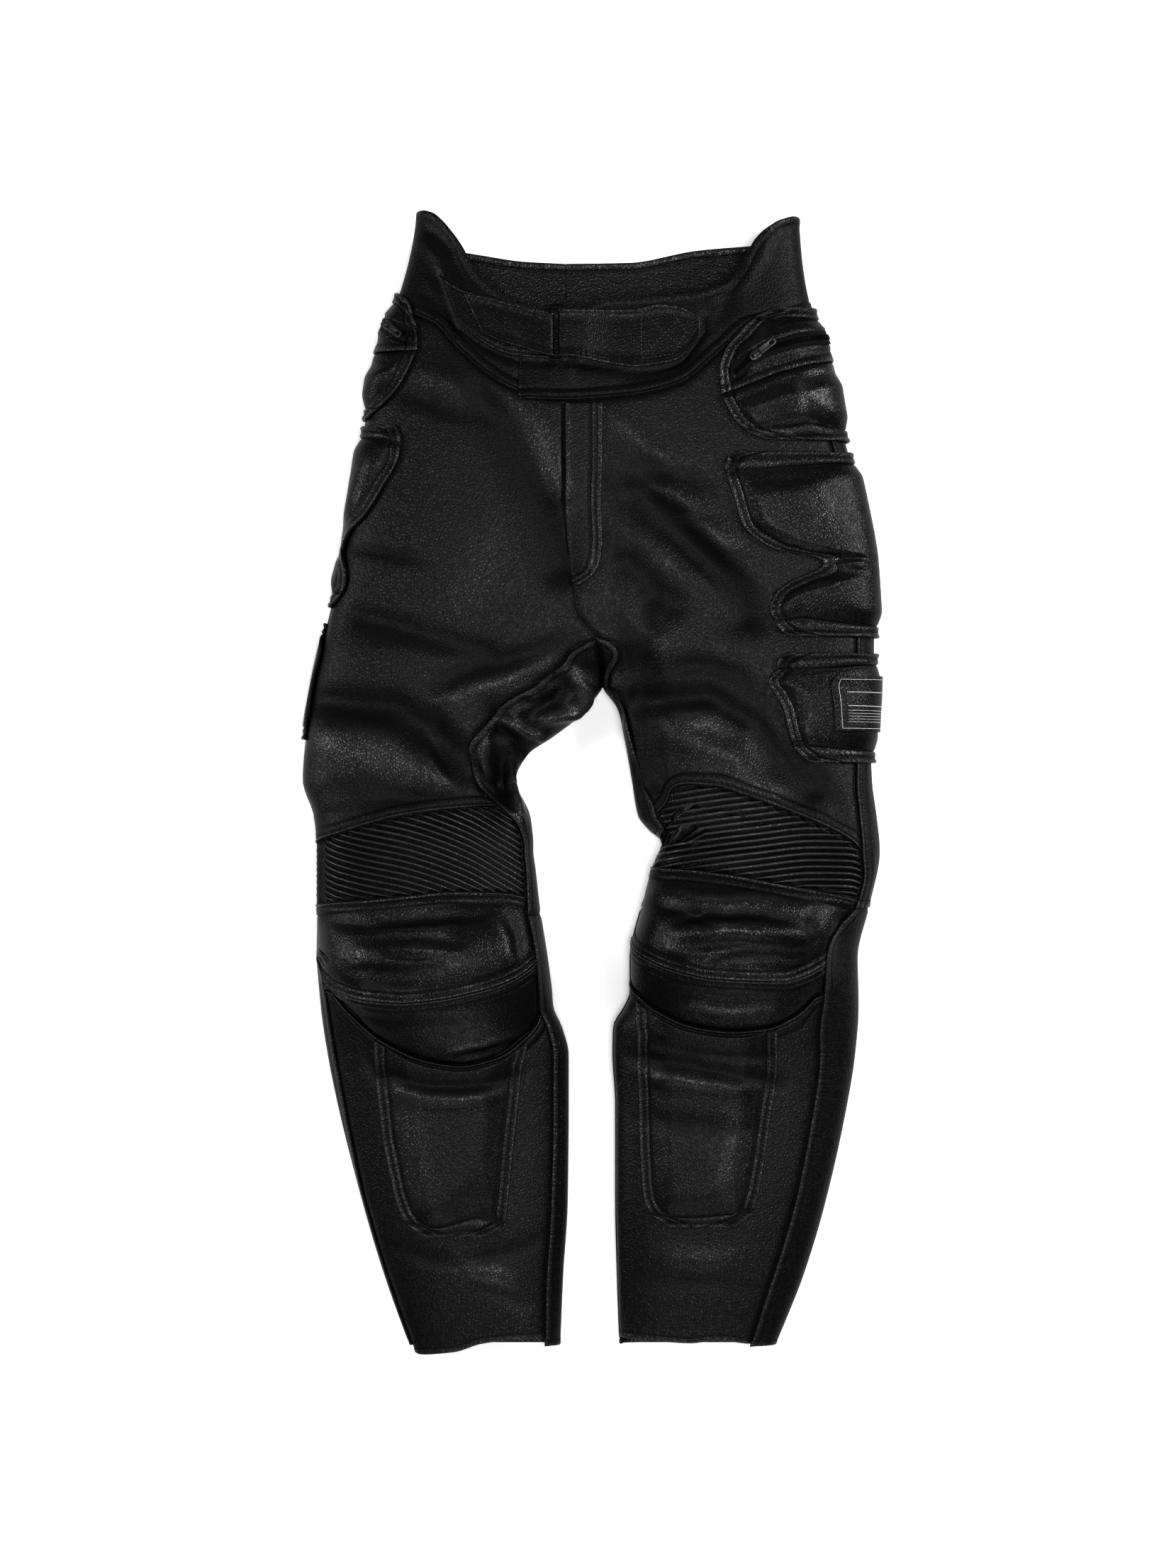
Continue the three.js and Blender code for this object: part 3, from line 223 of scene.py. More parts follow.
SEAMS: dict[Side, dict[str, Points]] = {
    Side.RIGHT: {
        "band_top": [
            (-22.4, 420.5), (-55.7, 425.6), (-84.5, 441.6), (-102.4, 460.8), (-116.5, 485), (-124, 495.4),
            (-132.5, 505.6), (-141, 513), (-150, 516),
        ],
        "band_seam": [
            (-22.4, 343), (-63, 350), (-91, 365), (-116.5, 387), (-139, 411.5), (-159, 421), (-172, 428),
        ],
        "rib_top": [
            (-56, -38), (-62, -29), (-78, -20.5), (-97, -21), (-136, -24), (-174, -30), (-200, -37),
            (-231, -47), (-246, -54),
        ],
        "knee_top": [
            (-56, -104), (-62, -101), (-84.5, -97.5), (-123, -97), (-161, -100.5), (-212.5, -105.6),
            (-244, -109),
        ],
        "knee_mid": [
            (-49, -160), (-72, -176), (-97, -184), (-136, -192), (-168, -195), (-200, -193),
            (-228.5, -184), (-243, -166),
        ],
        "cup_end": [
            (-44, -206), (-59, -228.5), (-84.5, -246), (-116.5, -253), (-148.5, -248), (-187, -230),
            (-212.5, -208), (-232, -186),
        ],
        "hem": [
            (-27, -498.5), (-43, -502), (-72, -503), (-97, -506), (-123, -514), (-152, -517), (-160, -516),
        ],
    },
    Side.LEFT: {
        "band_top": [
            (-22.4, 420.5), (-1.3, 425), (11.5, 432), (43.5, 434), (94.7, 439), (121.6, 448),
            (136.3, 467), (149, 489.6), (158.7, 499), (171.5, 507), (184, 511),
        ],
        "band_seam": [
            (-22.4, 342), (5, 343.7), (43.5, 347.5), (82, 358), (114, 384), (146, 410), (200, 424),
        ],
        "rib_top": [
            (64, -50), (68, -19), (74, -5), (85, -1), (107.5, -2), (146, -13), (184, -27), (210, -38),
            (229, -48), (244, -62),
        ],
        "knee_top": [(52, -75.5), (82, -77), (120, -81), (159, -88), (197, -95), (238, -104)],
        "knee_mid": [
            (38, -141), (47, -154), (75.5, -166), (107.5, -173), (139.5, -175), (171.5, -176),
            (191, -171), (212, -160),
        ],
        "cup_end": [
            (37, -179), (43.5, -190), (63, -205), (95, -218), (127, -222), (159, -219), (184, -208),
            (203, -190),
        ],
        "hem": [(31, -502), (50, -503), (91.5, -505.6), (114, -503), (139.5, -506), (166, -512.6)],
    },
}


@dataclass(frozen=True)
class Dome:
    """A domed knee: its highest line, its middle, its reach across and its height."""

    side: Side
    x: float
    y: float
    across: float
    high: float

    SIDE_POWER = 0.7
    TOP_POWER = 1.5

    def height(self, x: Array, y: Array) -> Array:
        """How far the dome lifts the leather, from the seam above the knee to the end of its cup.

        Args:
            x: plan places.
            y: plan places.

        Returns:
            The heights there.
        """
        above, below = Curve(SEAMS[self.side]["knee_top"]), Curve(SEAMS[self.side]["cup_end"])
        upper = y > self.y
        end = np.where(upper, above(x), below(x))
        across = np.clip(1 - ((x - self.x) / self.across) ** 2, 0, None)
        along = np.clip(1 - ((y - self.y) / (end - self.y)) ** 2, 0, None)
        return self.high * across**self.SIDE_POWER * along ** np.where(upper, self.TOP_POWER, 1)


@dataclass(frozen=True)
class Skin:
    """The outer face of the leather, with its largest folds and its knees."""

    crotch: float = 86
    rise_blend: float = 62
    side_height: float = 0.42
    pelvis_power: float = 3.0
    leg_power: float = 2.6
    back_power: float = 5
    back_press: float = 1.05
    folds_end: float = 328
    folds_fade: float = 40
    relief_turn: float = 0.7
    step: float = 0.004
    height: Curve = Curve(
        [
            (515, 56), (419, 62), (323, 66), (195, 64), (131, 62), (86, 60), (42, 60), (3, 62), (-29, 64),
            (-61, 66), (-112, 70), (-157, 68), (-202, 62), (-246, 54), (-291, 50), (-381, 46),
            (-445, 40), (-518, 30),
        ]
    )
    centre_front: Curve = Curve(
        [(515, -22), (259, -22), (221, -20), (195, -17), (157, -13), (131, 4), (99, 11.5), (86, 11.5)]
    )
    outside_right: Curve = Curve(
        [
            (515, -156), (483, -161), (451, -169), (419, -180), (387, -192), (323, -202), (259, -212),
            (195, -224), (131, -239), (86, -249), (42, -256), (3, -259), (-29, -249), (-61, -246),
            (-112, -246), (-157, -246), (-202, -243), (-246, -237), (-291, -228), (-381, -205),
            (-445, -186), (-518, -160),
        ]
    )
    outside_left: Curve = Curve(
        [
            (515, 189), (483, 191), (451, 195), (419, 203), (387, 215), (323, 227), (259, 243), (195, 254),
            (131, 257), (86, 256), (42, 254), (3, 255), (-29, 259), (-61, 262), (-112, 252),
            (-157, 242), (-202, 243), (-246, 240), (-291, 233), (-381, 213), (-445, 194), (-518, 165),
        ]
    )
    inside_right: Curve = Curve(
        [
            (86, 11.5), (65, -4.5), (42, -33), (26, -56), (3, -67), (-29, -54), (-42, -52), (-54, -51),
            (-61, -51), (-77, -49), (-112, -45), (-157, -38), (-189, -34), (-202, -33), (-221, -25),
            (-246, -19), (-291, -19), (-381, -20), (-445, -24), (-518, -27),
        ]
    )
    inside_left: Curve = Curve(
        [
            (86, 11.5), (65, 26), (42, 31), (26, 34), (3, 38), (-29, 43.5), (-42, 53), (-54, 66),
            (-61, 63), (-77, 56), (-112, 47), (-157, 37), (-189, 37), (-202, 32), (-221, 22),
            (-246, 21.5), (-291, 24), (-381, 24), (-445, 25.5), (-518, 28),
        ]
    )
    folds: tuple[Fold, ...] = (
        Fold(-7, 17, ((-116, 374), (-84, 323), (-52, 259), (-27, 195))),
        Fold(4, 14, ((-80, 372), (-50, 320), (-30, 262))),
        Fold(-7, 14, ((-250, 74), (-174, 67), (-123, 29), (-84, -3))),
        Fold(4, 16, ((-236, 46), (-180, 34), (-140, 4))),
        Fold(-5, 12, ((-84, 61), (-80, 0), (-90, -20))),
        Fold(-5, 9, ((-50, 67), (-56, 29))),
        Fold(-4, 11, ((-205, 150), (-150, 132), (-95, 118))),
        Fold(-7, 15, ((43, 259), (107, 195), (138, 150))),
        Fold(4, 14, ((70, 262), (120, 212))),
        Fold(-5, 13, ((34, 196), (74, 160))),
        Fold(-6, 12, ((43, 74), (107, 77), (146, 52), (166, 22), (196, -6))),
        Fold(4, 13, ((80, 42), (130, 24), (160, -6))),
        Fold(-5, 12, ((50, 163), (53, 3))),
    )
    knees: tuple[Dome, ...] = (
        Dome(Side.RIGHT, x=-140, y=-165, across=112, high=25),
        Dome(Side.LEFT, x=125, y=-140, across=98, high=25),
    )

    def relief(self, x: Array, y: Array) -> Array:
        """What the folds and the knees add to the front's height.

        Args:
            x: plan places.
            y: plan places.

        Returns:
            The heights there.
        """
        z = sum(fold.height(x, y) for fold in self.folds)
        z = z * (1 - smooth(self.folds_end, self.folds_end + self.folds_fade, y))
        return z + sum(knee.height(x, y) for knee in self.knees)

    def outside(self, side: Side, y: Array) -> Array:
        """The outer edge's X."""
        return (self.outside_left if side is Side.LEFT else self.outside_right)(y)

    def inside(self, side: Side, y: Array) -> Array:
        """The inner edge's X, below the crotch."""
        return (self.inside_left if side is Side.LEFT else self.inside_right)(y)

    @staticmethod
    def roundness(psi: Array, power: Array) -> Array:
        """The size of a rounded rectangle's corner at an angle."""
        return (np.abs(np.cos(psi)) ** power + np.abs(np.sin(psi)) ** power) ** (1 / power)

    def section(self, side: Side, y: Array) -> tuple[Array, Array, Array, Array, Array, Array]:
        """One cross-section of a leg, or of half of the pelvis.

        Args:
            side: which leg.
            y: the heights along it.

        Returns:
            The outer edge, the angle at the inner one, the front's height, its power, and half the
            width of the front and of the back.
        """
        rise = smooth(self.crotch, self.crotch + self.rise_blend, y)
        inner = np.where(y > self.crotch, self.centre_front(y), self.inside(side, y))
        outer = self.outside(side, y)
        psi = math.pi * mix(1, 0.5, rise)
        power = mix(self.leg_power, self.pelvis_power, rise)
        front = (outer - inner) / (1 - np.cos(psi) / self.roundness(psi, power))
        back = (outer - inner) / (1 - np.cos(psi) / self.roundness(psi, self.back_power))
        return outer, psi, self.height(y), power, front, back

    def half(self, side: Side, a: Array, y: Array) -> Array:
        """The skin of one leg or half, for a from 0 to 2.

        Args:
            side: which half.
            a: the places round it.
            y: the heights along it.

        Returns:
            The points.
        """
        outer, inner_psi, high, power, front, back = self.section(side, y)
        low = high * self.side_height
        psi = (1 - a) * inner_psi
        r = self.roundness(psi, power)
        x = outer - front + front * np.cos(psi) / r
        z = low + (high - low) * np.sin(psi) / r
        z = z + self.relief(x, y) * smooth(0, self.relief_turn, np.sin(psi) / r)
        r = self.roundness(psi, self.back_power)
        under_x = outer - back + back * np.cos(psi) / r
        under_z = np.maximum(low + self.back_press * low * np.sin(psi) / r, 0)
        upper = psi >= 0
        return np.stack([np.where(upper, x, under_x), y, np.where(upper, z, under_z)], axis=-1)

    def point(self, side: Side, a: Array, y: Array) -> Array:
        """The skin. Past 0 or 2, a carries on round the inside of a leg, or onto the other half.

        Args:
            side: which half.
            a: the places round it.
            y: the heights along it.

        Returns:
            The points.
        """
        a, y = np.broadcast_arrays(np.asarray(a, float), np.asarray(y, float))
        across = ((a < 0) | (a > 2)) & (y >= self.crotch)
        wrapped = np.where(a < 0, a + 2, np.where(a > 2, a - 2, a))
        found = self.half(side, wrapped, y)
        if across.any():
            beyond = np.where(a < 0, -a, 4 - a)[across]
            found[across] = self.half(side.other, beyond, y[across])
        return found

    def along(self, side: Side, a: Array, y: Array) -> Array:
        """The way round the leg: how far the skin runs for each 1 of a."""
        ahead, behind = self.point(side, a + self.step, y), self.point(side, a - self.step, y)
        return (ahead - behind) / (2 * self.step)

    def outward(self, side: Side, a: Array, y: Array) -> Array:
        """The skin's outward normals."""
        up = self.point(side, a, y + 1) - self.point(side, a, y - 1)
        return unit(np.cross(self.along(side, a, y), up) * side.value)

    def around(self, side: Side, x: Array, y: Array) -> Array:
        """The place round the front that lies under a plan point.

        Args:
            side: which half.
            x: plan places.
            y: plan places.

        Returns:
            The places round the front.
        """
        x, y = np.asarray(x, float), np.asarray(y, float)
        outer, psi, _, power, front, _ = self.section(side, y)
        across = np.clip((x - outer + front) / front, -1, 1)
        up = (1 - np.abs(across) ** power) ** (1 / power)
        return 1 - np.arctan2(up, across) / psi

    def edge_a(self, side: Side, points: Points) -> Curve:
        """A plan outline read as a(y)."""
        return Curve([(y, float(self.around(side, x, y))) for x, y in points])

    def edge_y(self, side: Side, points: Points) -> Curve:
        """A plan outline read as y(a)."""
        return Curve([(float(self.around(side, x, y)), y) for x, y in points])


SKIN = Skin()


@dataclass(frozen=True)
class PaintedLightAndWear:
    """How far each feature paints shade (towards -1) or highlights (towards 1) into the leather's colour, on
    a scale of tones from -1 to 1; the roughness follows the same tone.

    A crease or a fold counts by its height: so many millimetres to a tone of 1.
    """

    tucked: float = 0.9
    folded: float = 0.4
    bank: float = 1.15
    stitches: float = 2.2
    cut_edge: float = 0.7
    crease: float = 3
    fold: float = 7
    crest: float = 2.6
    valley: float = 1.4


@dataclass(frozen=True)
class EdgeShape:
    """How the leather at an edge slopes off, dips under its stitches and rolls over."""

    slope_in: float = 2.4
    slope_out: float = 1.2
    groove: float = 1.2
    # hollow and cut_edge are the widths of the painted shade along the stitch lines and at the edge
    hollow: float = 1.0
    cut_edge: float = 0.7
    roll_reach: float = 1.5
    sewn_roll: float = 0.95
    plain_roll: float = 0.5
    beside_line: float = 0.7
    least_gap: float = 0.35
    plain_spacing: tuple[float, ...] = (0.2, 0.8, 1.6, 2.8, 4.5)
    edge_spacing: tuple[float, ...] = (0.2, 0.6, 1.1, 1.6)
    reach_spacing: tuple[float, ...] = (-1.6, 0.2, 1.8, 4.5)


PAINTED_LIGHT_AND_WEAR = PaintedLightAndWear()
EDGE = EdgeShape()


class Seam(Enum):
    """How an edge is sewn: its height over the panel and its reach, its stitch lines and their depth."""

    LAPPED = (1.7, 10.6, (3.4, 9.8), 1.3)
    SINGLE = (1.0, 8.0, (6.4,), 0.8)
    OPEN = (2.2, 9.2, (3.6, 8.6), 1.6)
    HEM = (0.5, 7.0, (5.2,), 0.6)
    ROLLED = (0.9, 8.5, (7.2,), 0.8)
    PAD = (1.8, 10.6, (4.8, 10.4), 1.7)
    TUCKED = (-0.9, 3.5, (), 0.0)
    FOLDED = (0.8, 4.0, (), 0.0)
    FLAT = (0.0, 1.0, (), 0.0)

    @property
    def raised(self) -> float:
        """How high the edge stands over the panel."""
        return self.value[0]

    @property
    def lines(self) -> tuple[float, ...]:
        """How far in the stitch lines lie."""
        return self.value[2]

    def bank(self, distance: Array) -> Array:
        """The height that the turned leather adds, by the distance from the edge."""
        reach = self.value[1]
        return self.raised * (1 - smooth(reach - EDGE.slope_in, reach + EDGE.slope_out, distance))

    def grooves(self, distance: Array) -> Array:
        """How deep the stitches pull the leather in, by the distance from the edge."""
        depth = self.value[3]
        return sum((depth * bell(distance - line, EDGE.groove) for line in self.lines), 0 * distance)

    def tone(self, distance: Array) -> Array:
        """The tone beside the edge: painted shade (-1) in the stitch hollows, at the cut edge and beside
        tucked edges, and painted highlight (1) on the raised banks; the roughness follows it.

        Args:
            distance: the distances from the edge.

        Returns:
            The tones there.
        """
        if self is Seam.FLAT:
            return 0 * distance
        share = self.bank(distance) / abs(self.raised)
        if not self.lines:
            return share * (PAINTED_LIGHT_AND_WEAR.tucked if self.raised < 0 else PAINTED_LIGHT_AND_WEAR.folded)
        hollow = sum(bell(distance - line, EDGE.hollow) for line in self.lines)
        hollow = hollow + PAINTED_LIGHT_AND_WEAR.cut_edge * bell(distance, EDGE.cut_edge)
        return PAINTED_LIGHT_AND_WEAR.bank * share - PAINTED_LIGHT_AND_WEAR.stitches * hollow

    def roll(self, distance: Array) -> Array:
        """How far the edge rolls over."""
        depth = EDGE.sewn_roll if self.lines else EDGE.plain_roll
        return depth * np.clip(1 - distance / EDGE.roll_reach, 0, 1) ** 2

    def spacing(self) -> tuple[float, ...]:
        """Where the mesh has its lines beside the edge.

        Returns:
            The distances from the edge, the nearest first.
        """
        if not self.lines:
            return EDGE.plain_spacing
        found = set(EDGE.edge_spacing)
        for line in self.lines:
            found |= {line - EDGE.beside_line, line, line + EDGE.beside_line}
        found |= {self.value[1] + past for past in EDGE.reach_spacing}
        ordered = sorted(found)
        kept = [ordered[0]]
        for value in ordered[1:]:
            if value - kept[-1] > EDGE.least_gap:
                kept.append(value)
        return tuple(kept)


@dataclass(frozen=True)
class Ribs:
    """Accordion ribs: their pitch, their height, and the line that each follows, by plan x."""

    pitch: float
    relief: float
    climb: Curve

    LEVEL = 0.75
    POWER = 0.7

    def height(self, x: Array, y: Array) -> Array:
        """The ribs' height: rounded crests and narrow valleys.

        Args:
            x: plan places.
            y: plan places.

        Returns:
            The heights there.
        """
        return self.relief * (self.crest(x, y) - self.LEVEL)

    def crest(self, x: Array, y: Array) -> Array:
        """How near a rib's crest (1) or valley (0) a place is."""
        return np.abs(np.cos(math.pi * (y - self.climb(x)) / self.pitch)) ** self.POWER


@dataclass(frozen=True)
class Slot:
    """A sunk window with a zip in it: its path on the skin, its half width and its depth.

    A lip stands round the window, and a stitch line sinks in beyond it. Each is its height, its distance
    from the window and its width.
    """

    path: Array
    half: float = 7.2
    depth: float = 1.3
    lip: tuple[float, float, float] = (0.5, 1.6, 1.6)
    groove: tuple[float, float, float] = (0.35, 4.2, 0.9)
    slope: tuple[float, float] = (1, 0.6)

    def height(self, points: Array) -> Array:
        """How far the window sinks the leather, with the lip that stands round it.

        Args:
            points: points on the skin.

        Returns:
            The heights there.
        """
        flat = points.reshape(-1, 3)
        nearest = np.linalg.norm(flat[:, None, :] - self.path[None, :, :], axis=-1).min(axis=1)
        nearest = nearest.reshape(points.shape[:-1])
        lip, groove = (
            high * bell(nearest - self.half - beyond, wide) for high, beyond, wide in (self.lip, self.groove)
        )
        inside = 1 - smooth(self.half - self.slope[0], self.half + self.slope[1], nearest)
        return lip - groove - self.depth * inside


def cumulative(points: Array, axis: int) -> Array:
    """Lengths run along an axis of a grid of points.

    Args:
        points: the grid.
        axis: the axis to run along.

    Returns:
        The length run to reach each point.
    """
    run = np.cumsum(np.linalg.norm(np.diff(points, axis=axis), axis=-1), axis=axis)
    pad = [(0, 0), (0, 0)]
    pad[axis] = (1, 0)
    return np.pad(run, pad)


def slant(across: Array, edge: Array) -> Array:
    """The sine of the angle between lines that meet an edge and the edge itself.

    Args:
        across: the lines' first steps from the edge.
        edge: the edge's points.

    Returns:
        The sines, of which none is very small.
    """
    tangent = np.gradient(edge, axis=0)
    area = np.linalg.norm(np.cross(across, tangent), axis=-1)
    size = np.linalg.norm(across, axis=-1) * np.linalg.norm(tangent, axis=-1)
    return np.clip(area / np.maximum(size, 1e-9), 0.4, 1)


def placed(near_low: Sequence[float], near_high: Sequence[float], count: int, length: float) -> Array:
    """Where a row's points lie: close together beside both ends, and even between.

    Args:
        near_low: distances from the start.
        near_high: distances from the end.
        count: how many points lie between.
        length: the row's length.

    Returns:
        The places along the row.
    """
    low, high = np.array(near_low), np.array(near_high)
    low = low * min(1, MOST_NEAR_END * length / low[-1])
    high = high * min(1, MOST_NEAR_END * length / high[-1])
    between = np.linspace(low[-1], length - high[-1], count + 2)[1:-1]
    return np.concatenate([low, between, length - high[::-1]])


@dataclass
class Mesh:
    """A finished mesh: its points, faces, pattern places and seam places."""

    points: Array
    faces: list[tuple[int, ...]]
    uv: Array | None = None
    seam: Array | None = None

    def link(self, name: str, material: bpy.types.Material) -> bpy.types.Object:
        """Makes the object, with its place in its mesh.

        Args:
            name: the piece's name.
            material: its material.

        Returns:
            The object.
        """
        mesh = bpy.data.meshes.new(name)
        mesh.from_pydata((self.points * MM).tolist(), [], self.faces)
        mesh.polygons.foreach_set("use_smooth", np.ones(len(mesh.polygons), bool))
        if self.uv is not None:
            corners = np.zeros(len(mesh.loops), np.int32)
            mesh.loops.foreach_get("vertex_index", corners)
            layer = mesh.uv_layers.new(name="pattern")
            layer.data.foreach_set("uv", (self.uv[corners] * MM).astype(np.float32).ravel())
        if self.seam is not None:
            # The third value is the tone, which paints shade into hollows and highlights onto crests in the
            # colour, and sets the roughness
            for index, title in enumerate(("seam_far", "seam_run", "hide_tone")):
                layer = mesh.attributes.new(title, "FLOAT", "POINT")
                layer.data.foreach_set("value", self.seam[:, index].astype(np.float32))
        mesh.update()
        mesh.materials.append(material)
        made = bpy.data.objects.new(name, mesh)
        bpy.context.scene.collection.objects.link(made)
        return made


def wall(outer: Array, inner: Array, flip: bool, uv: Array | None, seam: Array | None) -> Mesh:
    """A closed wall from two grids of points.

    Args:
        outer: the grid of the outer face.
        inner: the grid of the inner face.
        flip: whether the grid runs the other way round.
        uv: pattern places of the grid.
        seam: seam places of the grid.

    Returns:
        The mesh.
    """
    rows, cols = outer.shape[:2]
    index = np.arange(rows * cols).reshape(rows, cols)
    under = index + rows * cols
    quads = [
        np.stack([index[:-1, :-1], index[:-1, 1:], index[1:, 1:], index[1:, :-1]], -1).reshape(-1, 4),
        np.stack([under[:-1, :-1], under[1:, :-1], under[1:, 1:], under[:-1, 1:]], -1).reshape(-1, 4),
        np.stack([index[0, :-1], under[0, :-1], under[0, 1:], index[0, 1:]], -1),
        np.stack([index[-1, 1:], under[-1, 1:], under[-1, :-1], index[-1, :-1]], -1),
        np.stack([index[1:, 0], under[1:, 0], under[:-1, 0], index[:-1, 0]], -1),
        np.stack([index[:-1, -1], under[:-1, -1], under[1:, -1], index[1:, -1]], -1),
    ]
    faces = np.concatenate(quads)
    if flip:
        faces = faces[:, ::-1]

    def doubled(values: Array | None) -> Array | None:
        """Values of the grid, for both faces."""
        return None if values is None else np.concatenate([values.reshape(-1, values.shape[-1])] * 2)

    points = np.concatenate([outer.reshape(-1, 3), inner.reshape(-1, 3)])
    return Mesh(points, [tuple(face) for face in faces.tolist()], doubled(uv), doubled(seam))


@dataclass
class Panel:
    """A piece of leather between four edges on the skin."""

    name: str
    side: Side
    left: Line | float
    right: Line | float
    bottom: Line | float
    top: Line | float
    seams: tuple[Seam, Seam, Seam, Seam]
    step: float = 4.0
    lift: float = -1.8
    thick: float = 1.8
    puff: float = 0.0
    puff_reach: tuple[float, float] = (8.5, 24.0)
    creases: tuple[Fold, ...] = ()
    crease_gain: float = 1.15
    # Painted highlights, and painted shade where a depth is below nothing, laid onto the tone
    rubs: tuple[Fold, ...] = ()
    # How far the whole piece's tone is lowered: its colour darker and its roughness higher all over
    dull: float = 0.0
    ribs: Ribs | None = None
    slot: Slot | None = None
    ramp: Line | None = None
    lined: bool = False
    survey_size: tuple[int, int] = (61, 41)
    fields: dict[str, Array] = field(default_factory=dict)

    EDGES = ("left", "right", "bottom", "top")
    UPRIGHT = ("left", "right")
    TURNS = 26
    FIRM_TURNS = 6
    EASE = 0.6
    MESH_TURNS = 4
    LINE_START = 0.012
    LINE_DENSITY = 6
    MOST_IN = 0.45
    FACING_UP = (0.1, 0.6)

    def __post_init__(self) -> None:
        """Measures the panel on a coarse grid."""
        rows, cols = self.survey_size
        self.u, self.v = np.linspace(0, 1, cols), np.linspace(0, 1, rows)
        a, y = self.place(*np.meshgrid(self.u, self.v))
        p = SKIN.point(self.side, a, y)
        run, climb = cumulative(p, 1), cumulative(p, 0)
        self.sines = {
            "left": slant(p[:, 1] - p[:, 0], p[:, 0]),
            "right": slant(p[:, -1] - p[:, -2], p[:, -1]),
            "bottom": slant(p[1] - p[0], p[0]),
            "top": slant(p[-1] - p[-2], p[-1]),
        }
        self.fields = {
            "run": run,
            "climb": climb,
            "left": run * self.sines["left"][:, None],
            "right": (run[:, -1:] - run) * self.sines["right"][:, None],
            "bottom": climb * self.sines["bottom"][None, :],
            "top": (climb[-1:] - climb) * self.sines["top"][None, :],
        }

    @staticmethod
    def line(edge: Line | float, at: Array) -> Array:
        """An edge's value, where the edge may be one number."""
        return edge(at) if callable(edge) else edge + 0 * at

    def place(self, u: Array, v: Array) -> tuple[Array, Array]:
        """Where a share across and a share up the panel lie on the skin.

        Args:
            u: shares from the left to the right edge.
            v: shares from the bottom to the top edge.

        Returns:
            The places round the leg, and the heights along it.
        """
        middle = np.full(np.shape(v), 0.5)
        y = mix(self.line(self.bottom, middle), self.line(self.top, middle), v)
        for turn in range(self.TURNS):
            a = mix(self.line(self.left, y), self.line(self.right, y), u)
            aim = mix(self.line(self.bottom, a), self.line(self.top, a), v)
            y = mix(y, aim, 1 if turn < self.FIRM_TURNS else self.EASE)
        return a, y

    def sample(self, name: str, u: Array, v: Array) -> Array:
        """A measured field at shares of the panel.

        Args:
            name: the field.
            u: shares across.
            v: shares up.

        Returns:
            The field's values.
        """
        grid = self.fields[name]
        x, z = u * (len(self.u) - 1), v * (len(self.v) - 1)
        i = np.clip(x.astype(int), 0, len(self.u) - 2)
        j = np.clip(z.astype(int), 0, len(self.v) - 2)
        s, t = x - i, z - j
        low = mix(grid[j, i], grid[j, i + 1], s)
        return mix(low, mix(grid[j + 1, i], grid[j + 1, i + 1], s), t)

    def folded(self, points: Array, normal: Array) -> Array:
        """How far the creases move the leather, which both of its faces follow.

        Args:
            points: points on the skin.
            normal: its normals there.

        Returns:
            The heights there.
        """
        x, y = points[..., 0], points[..., 1]
        front = smooth(*self.FACING_UP, normal[..., 2])
        return self.crease_gain * front * sum((c.height(x, y) for c in self.creases), 0 * x)

    def tone(self, points: Array, normal: Array, far: dict[str, Array]) -> Array:
        """The tone, from -1 to 1: painted shade in hollows and painted highlights on crests, which also make
        hollows rougher and crests smoother.

        Args:
            points: points on the skin.
            normal: its normals there.
            far: distances from the edges.

        Returns:
            The tones there.
        """
        x, y = points[..., 0], points[..., 1]
        tones = np.array([seam.tone(far[name]) for name, seam in zip(self.EDGES, self.seams)])
        found = tones.min(axis=0) + np.maximum(tones.max(axis=0), 0) - self.dull
        # Crease and fold crests take painted highlight and their troughs painted shade, as do the ribs'
        # crests and valleys
        found = found + self.folded(points, normal) / PAINTED_LIGHT_AND_WEAR.crease
        found = found + sum(fold.height(x, y) for fold in SKIN.folds) / PAINTED_LIGHT_AND_WEAR.fold
        found = found + sum((rub.height(x, y) for rub in self.rubs), 0 * x)
        if self.ribs:
            found = found + PAINTED_LIGHT_AND_WEAR.crest * self.ribs.crest(x, y) ** 3 - PAINTED_LIGHT_AND_WEAR.valley
        return np.clip(found, -1, 1)

    def surface(self, u: Array, v: Array) -> tuple[Array, Array, dict[str, Array]]:
        """The outer face, with its seams, folds and padding.

        Args:
            u: shares across.
            v: shares up.

        Returns:
            The points, the skin's normals there, and the distances from the edges.
        """
        a, y = self.place(u, v)
        p, normal = SKIN.point(self.side, a, y), SKIN.outward(self.side, a, y)
        far = {name: self.sample(name, u, v) for name in self.EDGES}
        edges = [(seam, far[name]) for name, seam in zip(self.EDGES, self.seams)]
        banks = [seam.bank(distance) for seam, distance in edges]
        raised, sunk = np.max(banks, axis=0), np.min(banks, axis=0)
        height = self.lift + self.thick + np.maximum(raised, 0) + np.minimum(sunk, 0)
        for seam, distance in edges:
            height = height - seam.grooves(distance)
        height = height - np.max([seam.roll(distance) for seam, distance in edges], axis=0)
        if self.puff:
            sewn = [distance for seam, distance in edges if seam is not Seam.FLAT]
            height = height + self.puff * smooth(*self.puff_reach, np.min(sewn, axis=0))
        height = height + self.folded(p, normal)
        if self.ribs:
            height = height + self.ribs.height(p[..., 0], p[..., 1])
        if self.slot:
            height = height + self.slot.height(p)
        if self.ramp:
            height = height + self.ramp(p[..., 0])
        face = p + normal * height[..., None]
        face[..., 2] = np.maximum(face[..., 2], 0)
        return face, normal, far

